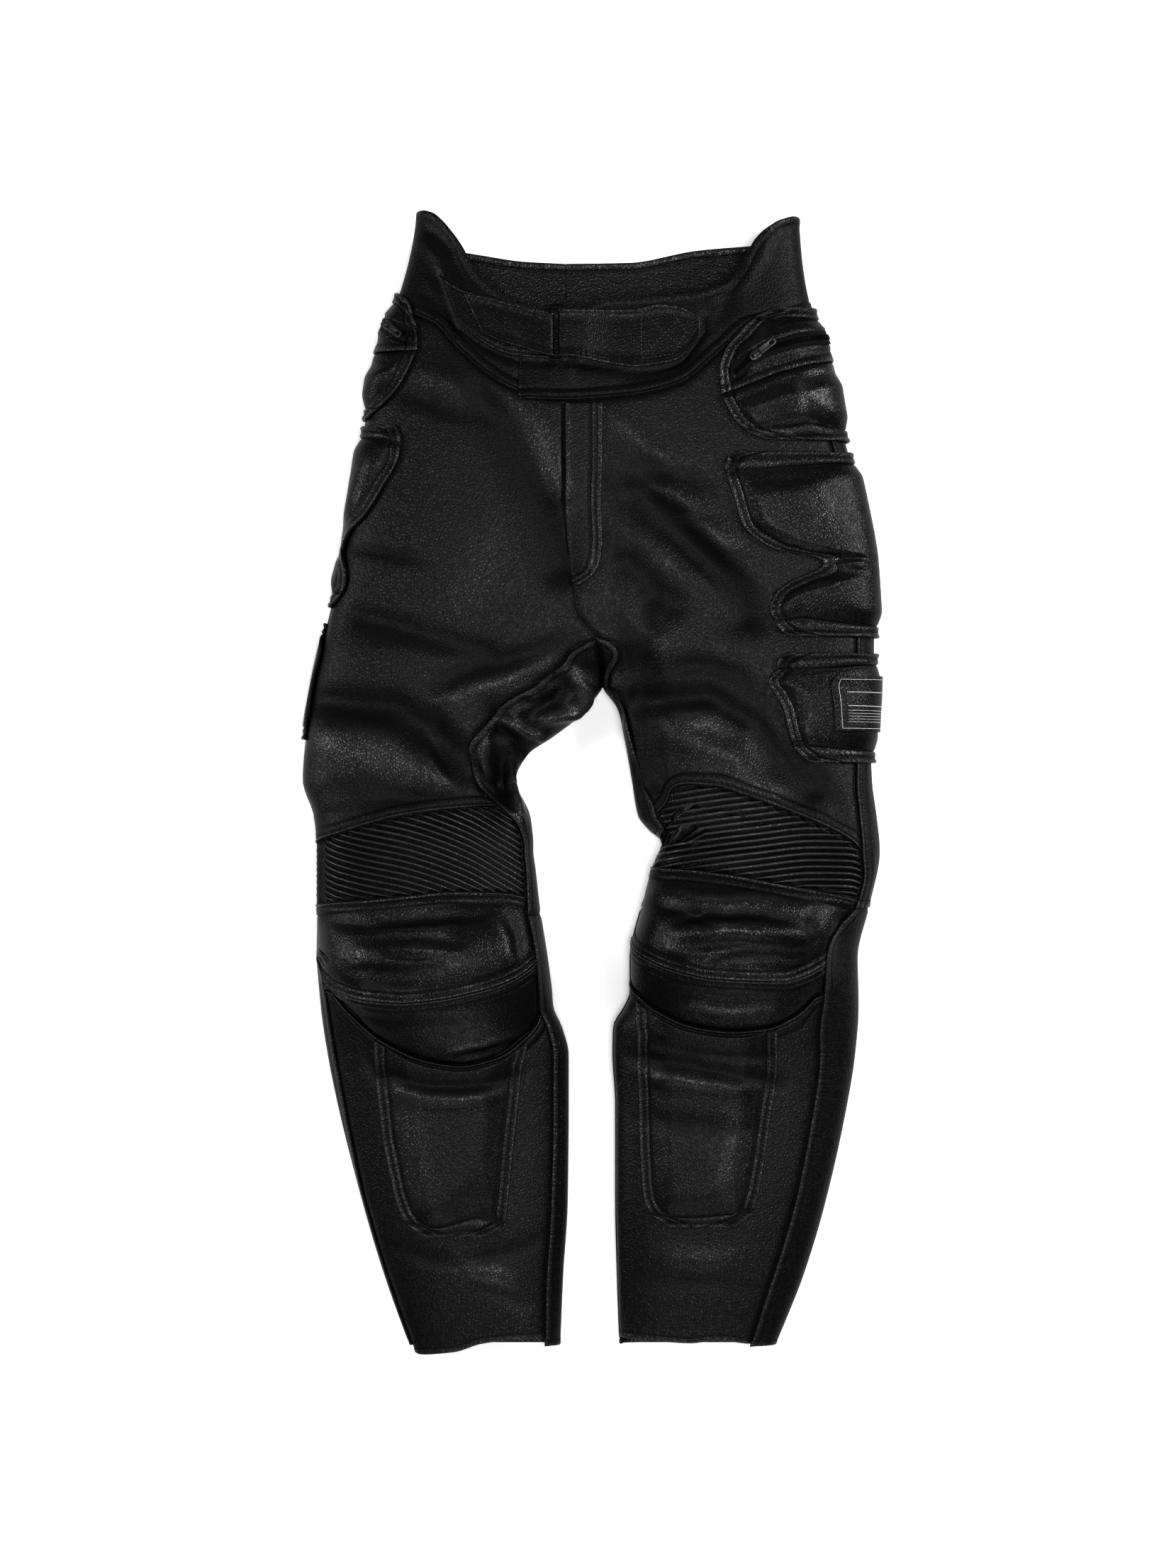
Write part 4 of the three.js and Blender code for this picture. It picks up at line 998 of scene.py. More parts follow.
    def mesh(self) -> Mesh:
        """The panel's wall.

        Returns:
            The mesh, with its pattern and seam places.
        """
        across = self.fields["run"][:, -1]
        tall = self.fields["climb"][-1]
        near = [seam.spacing() for seam in self.seams]
        cols = max(3, round(float(across.mean() - near[0][-1] - near[1][-1]) / self.step))
        rows = max(3, round(float(tall.mean() - near[2][-1] - near[3][-1]) / self.step))
        us = self.spread(near[:2], ("left", "right"), cols, self.fields["run"], self.u)
        vs = self.spread(near[2:], ("bottom", "top"), rows, self.fields["climb"].T, self.v).T
        u = np.tile(us[len(us) // 2], (vs.shape[0], 1))
        v = np.tile(vs[:, vs.shape[1] // 2][:, None], (1, us.shape[1]))
        for _ in range(self.MESH_TURNS):
            u = np.stack([np.interp(v[:, k], self.v, us[:, k]) for k in range(us.shape[1])], axis=1)
            v = np.stack([np.interp(u[m], self.u, vs[m]) for m in range(vs.shape[0])])
        outer, normal, far = self.surface(u, v)
        a, y = self.place(u, v)
        skin = SKIN.point(self.side, a, y)
        under = self.lift + self.folded(skin, normal)
        if self.lined:
            facing = Seam.ROLLED
            below = far["top"]
            under = under - facing.bank(below) + facing.grooves(below) + facing.roll(below)
        inner = skin + normal * under[..., None]
        run, climb = self.sample("run", u, v), self.sample("climb", u, v)
        uv = np.stack([run, climb], -1)
        tone = self.tone(skin, normal, far)[..., None]
        seam = np.concatenate([self.seam_places(far, run, climb), tone], -1)
        return wall(outer, inner, self.side is Side.RIGHT, uv, seam)

    def spread(
        self, near: Sequence[Sequence[float]], names: Sequence[str], count: int, runs: Array, shares: Array
    ) -> Array:
        """The shares of the panel at which each of its measured rows has the mesh's points.

        Args:
            near: where the mesh has its lines beside the row's first and last edge.
            names: those edges.
            count: how many points lie between.
            runs: the length run along each row.
            shares: the shares at which that was measured.

        Returns:
            The shares, row by row.
        """
        found = []
        for index, run in enumerate(runs):
            low, high = ([d / self.sines[name][index] for d in ds] for name, ds in zip(names, near))
            found.append(np.interp(placed(low, high, count, run[-1]), run, shares))
        return np.array(found)

    def seam_places(self, far: dict[str, Array], run: Array, climb: Array) -> Array:
        """How far each point is from the nearest sewn edge, and how far along that edge.

        Args:
            far: distances from the edges.
            run: lengths along the rows.
            climb: lengths along the columns.

        Returns:
            Both, as a grid of pairs.
        """
        nearest = np.full(run.shape, NO_SEAM)
        place = np.zeros(run.shape)
        for name, seam in zip(self.EDGES, self.seams):
            if not seam.lines:
                continue
            closer = far[name] < nearest
            nearest = np.where(closer, far[name], nearest)
            place = np.where(closer, climb if name in self.UPRIGHT else run, place)
        return np.stack([nearest, place], -1)

    def stitch_lines(self) -> list[StitchLine]:
        """The stitch lines along the sewn edges.

        Returns:
            The points and normals of each line.
        """
        lines = []
        for name, seam in zip(self.EDGES, self.seams):
            for distance in seam.lines:
                lines.append(self.line_beside(name, distance))
        return lines

    def line_beside(self, name: str, distance: float) -> StitchLine:
        """A line on the outer face at one distance from an edge.

        Args:
            name: the edge.
            distance: how far in the line lies.

        Returns:
            Its points and normals.
        """
        upright = name in self.UPRIGHT
        runs = self.fields["run"] if upright else self.fields["climb"].T
        shares = self.u if upright else self.v
        other = self.v if upright else self.u
        other = self.LINE_START + (1 - 2 * self.LINE_START) * other
        found = []
        for j, sine in enumerate(self.sines[name]):
            length = runs[j, -1]
            at = min(distance / sine, self.MOST_IN * length)
            at = length - at if name in ("right", "top") else at
            found.append(np.interp(at, runs[j], shares))
        found = np.array(found)
        dense = np.linspace(0, 1, self.LINE_DENSITY * len(found))
        cross = np.interp(dense, np.linspace(0, 1, len(found)), found)
        along = np.interp(dense, np.linspace(0, 1, len(found)), other)
        u, v = (cross, along) if upright else (along, cross)
        points, normal, _ = self.surface(u, v)
        return points, normal


@dataclass
class Thread:
    """Stitches gathered from many lines into a few joined meshes."""

    pitch: float = 3.3
    gap: float = 0.7
    wide: float = 0.62
    high: float = 0.34
    end_dip: float = 0.15
    root: float = 0.2
    lines: list[StitchLine] = field(default_factory=list)

    def add(self, lines: Sequence[StitchLine]) -> None:
        """Adds stitch lines."""
        self.lines.extend(lines)

    def mesh(self) -> Mesh:
        """All the stitches, each a small rounded bar that dips at both ends.

        Returns:
            The mesh.
        """
        points, faces = [], []
        for line, normals in self.lines:
            run = run_along(line)
            for k in range(int(run[-1] / self.pitch)):
                ends = np.array([k * self.pitch + self.gap / 2, (k + 1) * self.pitch - self.gap / 2])
                spots = np.array([ends[0], mix(*ends, 0.25), mix(*ends, 0.75), ends[1]])
                path = np.stack([np.interp(spots, run, line[:, c]) for c in range(3)], -1)
                up = np.array([np.interp(ends.mean(), run, normals[:, c]) for c in range(3)])
                up = up / np.linalg.norm(up)
                sideways = np.cross(up, path[-1] - path[0])
                length = np.linalg.norm(sideways)
                if length < NO_LENGTH:
                    continue
                sideways = sideways / length * self.wide / 2
                base = len(points)
                top, root, dip = up * self.high, up * self.root, up * self.end_dip
                points.append(path[0] - dip)
                for spot in (path[1], path[2]):
                    points.extend([spot - sideways, spot + top, spot + sideways, spot - root])
                points.append(path[3] - dip)
                for c in range(4):
                    d = (c + 1) % 4
                    faces.append((base, base + 1 + d, base + 1 + c))
                    faces.append((base + 1 + c, base + 1 + d, base + 5 + d, base + 5 + c))
                    faces.append((base + 9, base + 5 + c, base + 5 + d))
        return Mesh(np.array(points), faces)


@dataclass
class Allowance:
    """The leather turned in at the seams, as narrow strips between the faces of the walls."""

    half: float = 2.0
    top: float = -1.2
    thick: float = 0.5
    strips: list[tuple[Side, Array, Array]] = field(default_factory=list)

    def add(self, side: Side, a: Array | float, y: Array | float) -> None:
        """Adds a seam.

        Args:
            side: which half it lies on.
            a: the places round the leg that it runs through.
            y: their heights along it.
        """
        a, y = np.broadcast_arrays(np.asarray(a, float), np.asarray(y, float))
        self.strips.append((side, a, y))

    def mesh(self) -> Mesh:
        """All the strips.

        Returns:
            The mesh.
        """
        points, faces, base = [], [], 0
        for side, a, y in self.strips:
            p, normal = SKIN.point(side, a, y), SKIN.outward(side, a, y)
            across = unit(np.cross(normal, np.gradient(p, axis=0)))
            rims = np.array([-1.0, 0, 1.0])[:, None, None] * self.half
            outer = p[None] + across[None] * rims + normal[None] * self.top
            strip = wall(outer, outer - normal[None] * self.thick, False, None, None)
            points.append(strip.points)
            faces += [tuple(v + base for v in face) for face in strip.faces]
            base += len(strip.points)
        points = np.concatenate(points)
        # The strips lie between the walls' faces and take the lowest tone: painted shade
        return Mesh(points, faces, seam=np.tile([NO_SEAM, 0.0, -1.0], (len(points), 1)))


class Nodes:
    """A short way to add and join a material's nodes."""

    def __init__(self, name: str) -> None:
        """Makes a material with a shader and its output."""
        self.material = bpy.data.materials.new(name)
        self.material.use_nodes = True
        self.tree = self.material.node_tree
        self.shader = self.tree.nodes["Principled BSDF"]

    def add(self, kind: str, inputs: Inputs | None = None, **settings: object) -> bpy.types.Node:
        """Adds a node.

        Args:
            kind: its type.
            inputs: values or sockets for its inputs.
            settings: its settings.

        Returns:
            The node.
        """
        node = self.tree.nodes.new(kind)
        for key, value in settings.items():
            setattr(node, key, value)
        for key, value in (inputs or {}).items():
            if isinstance(value, bpy.types.NodeSocket):
                self.tree.links.new(value, node.inputs[key])
            else:
                node.inputs[key].default_value = value
        return node

    def math(self, operation: str, *values: object) -> Socket:
        """Adds a sum, and returns its result."""
        return self.add("ShaderNodeMath", dict(enumerate(values)), operation=operation).outputs[0]

    def ramp(self, value: object, low: float, high: float, start: float = 0, end: float = 1) -> Socket:
        """Eases a value from one range to another.

        Args:
            value: the value.
            low: where its range starts.
            high: where its range ends.
            start: what low becomes.
            end: what high becomes.

        Returns:
            The result's socket.
        """
        inputs = {0: value, 1: low, 2: high, 3: start, 4: end}
        return self.add("ShaderNodeMapRange", inputs, interpolation_type="SMOOTHSTEP").outputs[0]

    def noise(self, vector: object, scale: float, detail: float = 2, distortion: float = 0) -> Socket:
        """Adds soft noise, and returns its value."""
        inputs = {"Vector": vector, "Scale": scale, "Detail": detail, "Distortion": distortion}
        return self.add("ShaderNodeTexNoise", inputs).outputs[0]

    def place(self) -> Socket:
        """Object coordinates, in metres."""
        return self.add("ShaderNodeTexCoord").outputs["Object"]

    def read(self, attribute: str) -> Socket:
        """A value that the mesh holds for each point."""
        return self.add("ShaderNodeAttribute", attribute_name=attribute).outputs["Fac"]

    def moved(self, operation: str, first: object, second: object) -> Socket:
        """A sum of two vectors."""
        return self.add("ShaderNodeVectorMath", {0: first, 1: second}, operation=operation).outputs[0]

    def stretched(self, vector: Socket, scale: tuple[float, float, float]) -> Socket:
        """Coordinates that are scaled along each axis."""
        return self.add("ShaderNodeMapping", {"Vector": vector, "Scale": scale}).outputs[0]

    def blend(self, share: Socket, first: tuple[float, ...], second: tuple[float, ...]) -> Socket:
        """A colour between two colours."""
        node = self.add("ShaderNodeMix", {0: share, 6: (*first, 1), 7: (*second, 1)}, data_type="RGBA")
        return node.outputs[2]

    def drive(self, name: str, socket: Socket) -> None:
        """Joins a socket to one of the shader's inputs."""
        self.tree.links.new(socket, self.shader.inputs[name])

    def bump(self, height: Socket, strength: float, distance: float) -> None:
        """Lets a height shape the surface."""
        inputs = {"Height": height, "Strength": strength, "Distance": distance}
        self.drive("Normal", self.add("ShaderNodeBump", inputs).outputs[0])


@dataclass(frozen=True)
class LeatherFinish:
    """Pebbled cowhide with a satin top coat.

    Cells and heights are in millimetres. Noise scales count for each metre. Each of the stops is a place on
    the scale of tones, from 0 to 1, and what the shade is multiplied by there: the low stop paints shade into
    hollows, and the high stop paints highlights onto crests.
    """

    name: str
    shade: float = 0.014
    roughness: float = 0.37
    specular: float = 0.5
    cell: float = 2.2
    grain: float = 0.2
    crease: float = 0.12
    pucker: float = 0.51
    fine: float = 0.05
    pebble_edge: float = 0.42
    warp: float = 0.0016
    cell_stretch: tuple[float, float, float] = (1, 0.78, 1)
    wrinkle_stretch: tuple[float, float, float] = (0.5, 1.2, 0.8)
    pucker_reach: tuple[float, float] = (15.0, 1.5)
    pucker_rate: float = 0.36
    unevenness: float = 0.3
    pebble_tone: tuple[float, float] = (0.6, 0.4)
    stops: tuple[tuple[float, float], ...] = ((0, 0.06), (0.5, 1.0), (1.0, 3.8))
    blue: float = 1.02
    dull_rougher: float = 0.14
    rubbed_smoother: float = 0.1

    def pebbles(self, n: Nodes, place: Socket) -> Socket:
        """How far up a pebble of the grain a place is, from 0 to 1.

        Args:
            n: the material's nodes.
            place: object coordinates.

        Returns:
            The socket.
        """
        bend = n.moved("MULTIPLY", n.noise(place, scale=160), (self.warp,) * 3)
        flat = n.stretched(n.moved("ADD", place, bend), self.cell_stretch)
        inputs = {"Vector": flat, "Scale": 1000 / self.cell}
        cells = n.add("ShaderNodeTexVoronoi", inputs, feature="DISTANCE_TO_EDGE")
        return n.ramp(cells.outputs["Distance"], 0.0, self.pebble_edge)

    def relief(self, n: Nodes, place: Socket, pebbles: Socket) -> Socket:
        """The height of the grain, the wrinkles and the puckers beside a seam.

        Args:
            n: the material's nodes.
            place: object coordinates.
            pebbles: the grain's pebbles.

        Returns:
            The socket.
        """
        grain = n.math("MULTIPLY", pebbles, self.grain)
        fine = n.math("MULTIPLY", n.noise(place, scale=1300), self.fine)
        wrinkles = n.noise(n.stretched(place, self.wrinkle_stretch), scale=120, detail=1, distortion=0.4)
        creased = n.math("MULTIPLY", wrinkles, self.crease)
        along = n.math("MULTIPLY", n.read("seam_run"), self.pucker_rate)
        inputs = {"W": along, "Scale": 1.0, "Detail": 1.0}
        waves = n.add("ShaderNodeTexNoise", inputs, noise_dimensions="1D").outputs[0]
        sewn = n.ramp(n.read("seam_far"), *self.pucker_reach)
        puckers = n.math("MULTIPLY", n.math("MULTIPLY", waves, sewn), self.pucker)
        return n.math("ADD", n.math("ADD", grain, fine), n.math("ADD", creased, puckers))

    def make(self) -> bpy.types.Material:
        """The material.

        Returns:
            A material that reads object coordinates, the seam places and the tone.
        """
        n = Nodes(self.name)
        place = n.place()
        pebbles = self.pebbles(n, place)
        n.bump(self.relief(n, place, pebbles), strength=1.0, distance=MM)
        uneven = n.math("SUBTRACT", n.noise(place, scale=22, detail=3), 0.5)
        uneven = n.math("MULTIPLY", uneven, self.unevenness)
        middle, weight = self.pebble_tone
        pebble = n.math("MULTIPLY", n.math("SUBTRACT", pebbles, middle), weight)
        # The mesh's tone paints shade into hollows and highlights onto crests; the uneven patches and the
        # pebbles are the hide's own
        tone = n.math("ADD", n.read("hide_tone"), n.math("ADD", uneven, pebble))
        colour = n.add("ShaderNodeValToRGB", {"Fac": n.ramp(tone, -1.0, 1.0)})
        elements = colour.color_ramp.elements
        elements.new(self.stops[1][0])
        for element, (at, share) in zip(elements, self.stops):
            element.position = at
            element.color = (self.shade * share, self.shade * share, self.shade * share * self.blue, 1)
        n.drive("Base Color", colour.outputs[0])
        dull, rubbed = self.roughness + self.dull_rougher, self.roughness - self.rubbed_smoother
        n.drive("Roughness", n.ramp(tone, -1.0, 1.0, dull, rubbed))
        n.shader.inputs["Specular IOR Level"].default_value = self.specular
        return n.material


@dataclass(frozen=True)
class MetalFinish:
    """Nickel plate, a little worn: the worn places are darker and rougher."""

    name: str
    shade: float = 0.17
    roughness: float = 0.36
    tint: tuple[float, float, float] = (1, 1, 0.98)
    worn_tint: tuple[float, float, float] = (0.5, 0.49, 0.47)
    worn_rougher: float = 0.18

    def make(self) -> bpy.types.Material:
        """The material.

        Returns:
            A material that reads object coordinates.
        """
        n = Nodes(self.name)
        wear = n.noise(n.place(), scale=900, detail=4)
        plated, worn = (tuple(self.shade * part for part in tint) for tint in (self.tint, self.worn_tint))
        n.drive("Base Color", n.blend(n.ramp(wear, 0.35, 0.7), plated, worn))
        n.drive("Roughness", n.ramp(wear, 0.3, 0.7, self.roughness, self.roughness + self.worn_rougher))
        n.shader.inputs["Metallic"].default_value = 1.0
        return n.material


@dataclass(frozen=True)
class ThreadFinish:
    """Thread or woven tape, with a fine twill and two shades."""

    name: str
    shade: float = 0.035
    roughness: float = 0.62
    shades: tuple[float, float] = (0.6, 1.4)

    def make(self) -> bpy.types.Material:
        """The material.

        Returns:
            A material that reads object coordinates.
        """
        n = Nodes(self.name)
        place = n.place()
        twist = n.add("ShaderNodeTexWave", {"Vector": place, "Scale": 1400.0, "Distortion": 1.0})
        n.bump(twist.outputs[0], strength=0.5, distance=0.1 * MM)
        dark, light = ((self.shade * share,) * 3 for share in self.shades)
        n.drive("Base Color", n.blend(n.noise(place, scale=500, detail=3), dark, light))
        n.shader.inputs["Roughness"].default_value = self.roughness
        return n.material


@dataclass
class Workshop:
    """What every piece is finished with, and the making of the pieces, their stitches and their seam
    allowance into objects.
    """

    smooth_leather: bpy.types.Material
    grained_leather: bpy.types.Material
    ribbed_leather: bpy.types.Material
    metal: bpy.types.Material
    dark_metal: bpy.types.Material
    thread: bpy.types.Material
    painted_highlight_thread: bpy.types.Material
    tape: bpy.types.Material
    print_ink: bpy.types.Material

    @staticmethod
    def open() -> "Workshop":
        """Makes the materials.

        Returns:
            The workshop.
        """
        ribbed = LeatherFinish(
            "ribbed_leather", shade=0.021, roughness=0.3, specular=0.4, crease=0.06, grain=0.1
        )
        return Workshop(
            smooth_leather=LeatherFinish("smooth_leather").make(),
            grained_leather=LeatherFinish("grained_leather", roughness=0.31, grain=0.17).make(),
            ribbed_leather=ribbed.make(),
            metal=MetalFinish("bright_metal").make(),
            dark_metal=MetalFinish("dark_metal", shade=0.035, roughness=0.34).make(),
            thread=ThreadFinish("thread", shade=0.01).make(),
            # A lighter thread, whose colour paints the highlight on the raised crossed stitches
            painted_highlight_thread=ThreadFinish("painted_highlight_thread", shade=0.12, roughness=0.5).make(),
            tape=ThreadFinish("zip_tape", shade=0.012, roughness=0.8).make(),
            print_ink=ThreadFinish("patch_print", shade=0.7, roughness=0.7).make(),
        )

    def sheet(self, panel: Panel, slot: str, rests_on: Sequence[str] = ()) -> bpy.types.Object:
        """Makes a leather panel in place of its solid.

        Args:
            panel: the panel.
            slot: its material slot.
            rests_on: what it lies on; not used.

        Returns:
            The object.
        """
        made = panel.mesh().link(f"{panel.name}_hide", getattr(self, slot))
        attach(made, BODY)
        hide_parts(panel.name)
        return made

    def pad(self, panel: Panel, slot: str, fill: float) -> bpy.types.Object:
        """Makes a padded piece in place of its solid.

        Args:
            panel: the pad's outer face.
            slot: its material slot.
            fill: how full the pad is; not used.

        Returns:
            The object.
        """
        made = panel.mesh().link(f"{panel.name}_foam", getattr(self, slot))
        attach(made, BODY)
        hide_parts(panel.name)
        LOG.info("pad %s, %d faces", panel.name, len(made.data.polygons))
        return made

    def join(self, allowance: Allowance, name: str) -> None:
        """Makes one joined mesh of the seam allowance gathered.

        Args:
            allowance: the strips.
            name: what the mesh belongs to.
        """
        made = allowance.mesh().link(f"seam_allowance_{name}", self.smooth_leather)
        repair_normals(made)
        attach(made, BODY)
        LOG.info("seam allowance %s, %d faces", name, len(made.data.polygons))

    def sew(self, thread: Thread, name: str, raised: bool = False) -> None:
        """Makes one joined mesh of the stitches gathered.

        Args:
            thread: the stitches.
            name: what they hold.
            raised: whether they stand up, in the lighter thread whose colour paints their highlight.
        """
        made = thread.mesh().link(f"stitches_{name}", self.painted_highlight_thread if raised else self.thread)
        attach(made, BODY)
        LOG.info("stitches %s, %d faces", name, len(made.data.polygons))


CREASES: tuple[Fold, ...] = (
    Crease(-2.2, 5, ((-214, 212), (-180, 206), (-149, 200))),
    Crease(-2.5, 9, ((-16, 130), (-70, 112), (-138, 92))),
    Crease(2.0, 9, ((-30, 112), (-80, 92), (-140, 74))),
    Crease(-3.0, 8, ((-138, 60), (-132, 30), (-120, 6))),
    Crease(2.5, 8, ((-150, 40), (-138, 10), (-122, -10))),
    Crease(1.6, 10, ((-246, 38), (-215, 24), (-176, 16))),
    Crease(-1.6, 8, ((-240, -8), (-200, -4), (-160, -10))),
    Crease(-1.8, 6, ((-238, -30), (-205, -18), (-168, -14), (-120, -12))),
    Crease(-2.0, 8, ((-170, 350), (-140, 340), (-118, 330))),
    Crease(1.5, 9, ((-160, 372), (-130, 360), (-108, 344))),
    Crease(-1.5, 9, ((-18, 318), (-14, 262), (-16, 210))),
    Crease(1.8, 10, ((20, 330), (44, 300), (76, 282))),
    Crease(-2.6, 10, ((28, 306), (60, 280), (104, 268))),
    Crease(-1.6, 7, ((60, 250), (84, 240), (112, 238))),
    Crease(-2.4, 10, ((70, 232), (112, 196), (150, 168))),
    Crease(2.0, 9, ((48, 226), (86, 196), (120, 160), (140, 132))),
    Crease(-2.4, 8, ((26, 150), (40, 110), (46, 70))),
    Crease(2.0, 8, ((34, 152), (60, 128), (66, 96))),
    Crease(-2.4, 9, ((62, 96), (96, 106), (132, 96), (160, 66))),
    Crease(2.0, 9, ((72, 58), (112, 60), (140, 44), (160, 20))),
    Crease(-2.0, 8, ((176, 62), (190, 30), (208, 2), (226, -28))),
    Crease(1.6, 8, ((96, 10), (130, 2), (160, -8))),
    Crease(-2.4, 9, ((66, 34), (62, 6), (68, -18))),
)

KNEE_CREASES: dict[Side, tuple[Fold, ...]] = {
    Side.RIGHT: (
        Crease(-2.6, 5, ((-238, -122), (-200, -128), (-150, -122), (-90, -118))),
        Crease(2.0, 6, ((-215, -113), (-160, -111), (-118, -108))),
        Crease(-1.8, 5, ((-205, -140), (-150, -136), (-110, -146))),
        Crease(1.8, 5, ((-185, -130), (-150, -132), (-120, -127))),
        Crease(-1.6, 4, ((-180, -148), (-160, -154), (-120, -150))),
        Crease(1.4, 5, ((-168, -146), (-138, -150), (-105, -146))),
        Crease(-1.6, 6, ((-215, -166), (-170, -168), (-130, -162))),
        Crease(-2.0, 5, ((-72, -118), (-64, -140), (-62, -160))),
        Crease(1.6, 6, ((-86, -116), (-76, -140), (-72, -158))),
        Crease(-1.4, 5, ((-218, -205), (-180, -212), (-120, -210))),
        Crease(2.0, 5, ((-130, -240), (-96, -234), (-62, -222))),
        Crease(-2.2, 5, ((-120, -246), (-84, -238), (-58, -228))),
    ),
    Side.LEFT: (
        Crease(-3.0, 5, ((52, -108), (90, -116), (150, -116), (196, -126))),
        Crease(2.2, 6, ((60, -96), (100, -104), (160, -104), (190, -112))),
        Crease(-2.4, 4, ((76, -124), (92, -118), (104, -128))),
        Crease(2.0, 6, ((80, -134), (120, -128), (170, -134))),
        Crease(-2.2, 5, ((92, -146), (130, -140), (190, -146))),
        Crease(1.8, 5, ((70, -148), (100, -152), (120, -150))),
        Crease(-1.6, 4, ((110, -156), (150, -152), (190, -156))),
        Crease(-2.4, 5, ((196, -116), (200, -140), (198, -160))),
        Crease(-1.4, 5, ((70, -184), (120, -192), (170, -190))),
        Crease(1.2, 5, ((80, -196), (124, -204), (164, -200))),
    ),
}

# Painted highlights on the knees' and shins' lit sides, and painted shade, below nothing, in the thighs' deep
# valleys: tone only, no height
PAINTED_LIGHTS: tuple[Fold, ...] = (
    Fold(0.9, 7, ((-196, -180), (-178, -186), (-158, -188))),
    Fold(0.8, 4, ((-112, -182), (-94, -180))),
    Fold(0.5, 5, ((-196, -130), (-206, -160), (-196, -190))),
    Fold(0.8, 5, ((136, -164), (160, -170), (182, -174))),
    Fold(0.7, 4, ((90, -160), (120, -164))),
    Fold(0.4, 9, ((96, -196), (130, -202), (160, -198))),
    Fold(0.7, 14, ((-166, -284), (-160, -330), (-152, -372))),
    Fold(0.7, 15, ((134, -306), (128, -364))),
    Fold(0.5, 12, ((-116, -438), (-80, -452), (-62, -476))),
    Fold(0.4, 10, ((66, -290), (70, -340))),
    Fold(-0.6, 12, ((-108, 372), (-90, 338), (-68, 292), (-46, 250))),
    Fold(0.5, 9, ((-38, 306), (-36, 276))),
    Fold(-0.7, 12, ((20, 270), (76, 214), (100, 190), (130, 166), (138, 150))),
    Fold(-0.6, 10, ((16, 218), (66, 168))),
    Fold(0.35, 18, ((60, 190), (80, 150))),
    Fold(-0.8, 9, ((-250, 72), (-210, 66), (-183, 60), (-156, 44), (-138, 20), (-120, 0))),
    Fold(-0.7, 9, ((60, 76), (97, 78), (117, 74), (158, 40), (178, 18), (209, 2))),
    Fold(0.5, 9, ((76, 62), (117, 48))),
    Fold(0.3, 18, ((-200, 30), (-170, 10))),
    Fold(0.35, 20, ((-90, 210), (-110, 170))),
)

# Painted highlights and painted shade on the pads, laid onto the tone only
HIP_PAINTED_LIGHTS: tuple[Fold, ...] = (
    Fold(0.7, 5, ((186, 356), (190, 344), (188, 332))),
    Fold(0.9, 6, ((198, 366), (214, 372))),
    Fold(0.4, 7, ((204, 350), (208, 330))),
    Fold(-0.6, 8, ((170, 330), (196, 312))),
    Fold(0.2, 14, ((160, 250), (190, 220))),
)

SHIN_CREASES: tuple[Fold, ...] = (
    Crease(-4.0, 6, ((-182, -262), (-140, -272), (-96, -270), (-62, -262))),
    Crease(2.6, 7, ((-176, -276), (-130, -282), (-90, -280))),
    Crease(-2.0, 5, ((-200, -246), (-190, -262), (-178, -276))),
    Crease(-1.8, 7, ((-176, -418), (-120, -434), (-50, -414))),
    Crease(1.8, 10, ((-130, -430), (-100, -438), (-70, -448))),
    Crease(-1.6, 8, ((-112, -446), (-86, -456), (-60, -468))),
    Crease(-3.4, 6, ((38, -246), (80, -250), (120, -258), (172, -270))),
    Crease(2.4, 6, ((46, -262), (90, -266), (136, -274))),
    Crease(-2.2, 5, ((60, -234), (110, -242), (160, -246))),
    Crease(-1.6, 9, ((44, -300), (90, -306), (150, -312))),
    Crease(1.2, 10, ((60, -424), (100, -430), (140, -424))),
    Crease(-1.2, 9, ((50, -452), (100, -446), (150, -456))),
)

GUSSET_CREASES: tuple[Fold, ...] = (
    Crease(6.0, 5, ((-16, 101), (-3, 81), (-1, 72), (-9, 63), (-48, 56))),
    Crease(-5.0, 6, ((-32, 100), (-24, 84), (-30, 74), (-60, 68))),
    Crease(4.0, 5, ((-52, 84), (-46, 72), (-66, 64))),
    Crease(5.0, 4, ((-88, 47), (-84, 58), (-75, 56), (-57, 45), (-34, 38))),
    Crease(-6.0, 5, ((-82, 46), (-68, 36), (-58, 22))),
    Crease(5.0, 5, ((-94, 42), (-96, 20), (-88, 0))),
    Crease(-5.0, 5, ((-78, 22), (-80, 0), (-70, -20))),
    Crease(4.0, 5, ((-68, 14), (-68, -10), (-60, -34))),
    Crease(-3.0, 4, ((20, 88), (26, 70), (28, 54))),
    Crease(3.0, 5, ((28, 84), (34, 60), (36, 34))),
    Crease(-2.4, 4, ((40, 20), (44, -4), (50, -26))),
)

GUSSET_LINE: dict[Side, Points] = {
    Side.RIGHT: [
        (9, 131), (-20.5, 112), (-46, 90), (-84.5, 64), (-103, 42), (-106, 16), (-93, -10), (-74, -27),
        (-63, -42), (-59, -60), (-57, -90), (-56, -116),
    ],
    Side.LEFT: [(12.5, 131), (19, 100), (31, 67), (39, 35), (46.7, 3), (58, -22), (67, -40), (66, -52)],
}

BACK_SEAM: dict[Side, Points] = {
    Side.RIGHT: [(1.11, 428), (1.3, 418), (1.6, 406), (2, 400)],
    Side.LEFT: [(0.93, 419.5), (1.06, 419), (1.3, 414), (1.6, 405), (2, 400)],
}

RIB_CLIMB: dict[Side, Points] = {
    Side.RIGHT: [(-50, 0), (-75, 16), (-110, 36), (-160, 54), (-215, 66), (-236, 74), (-247, 96)],
    Side.LEFT: [(48, -14), (62, -2), (90, 4), (150, 12), (200, 17), (232, 16), (250, 10)],
}


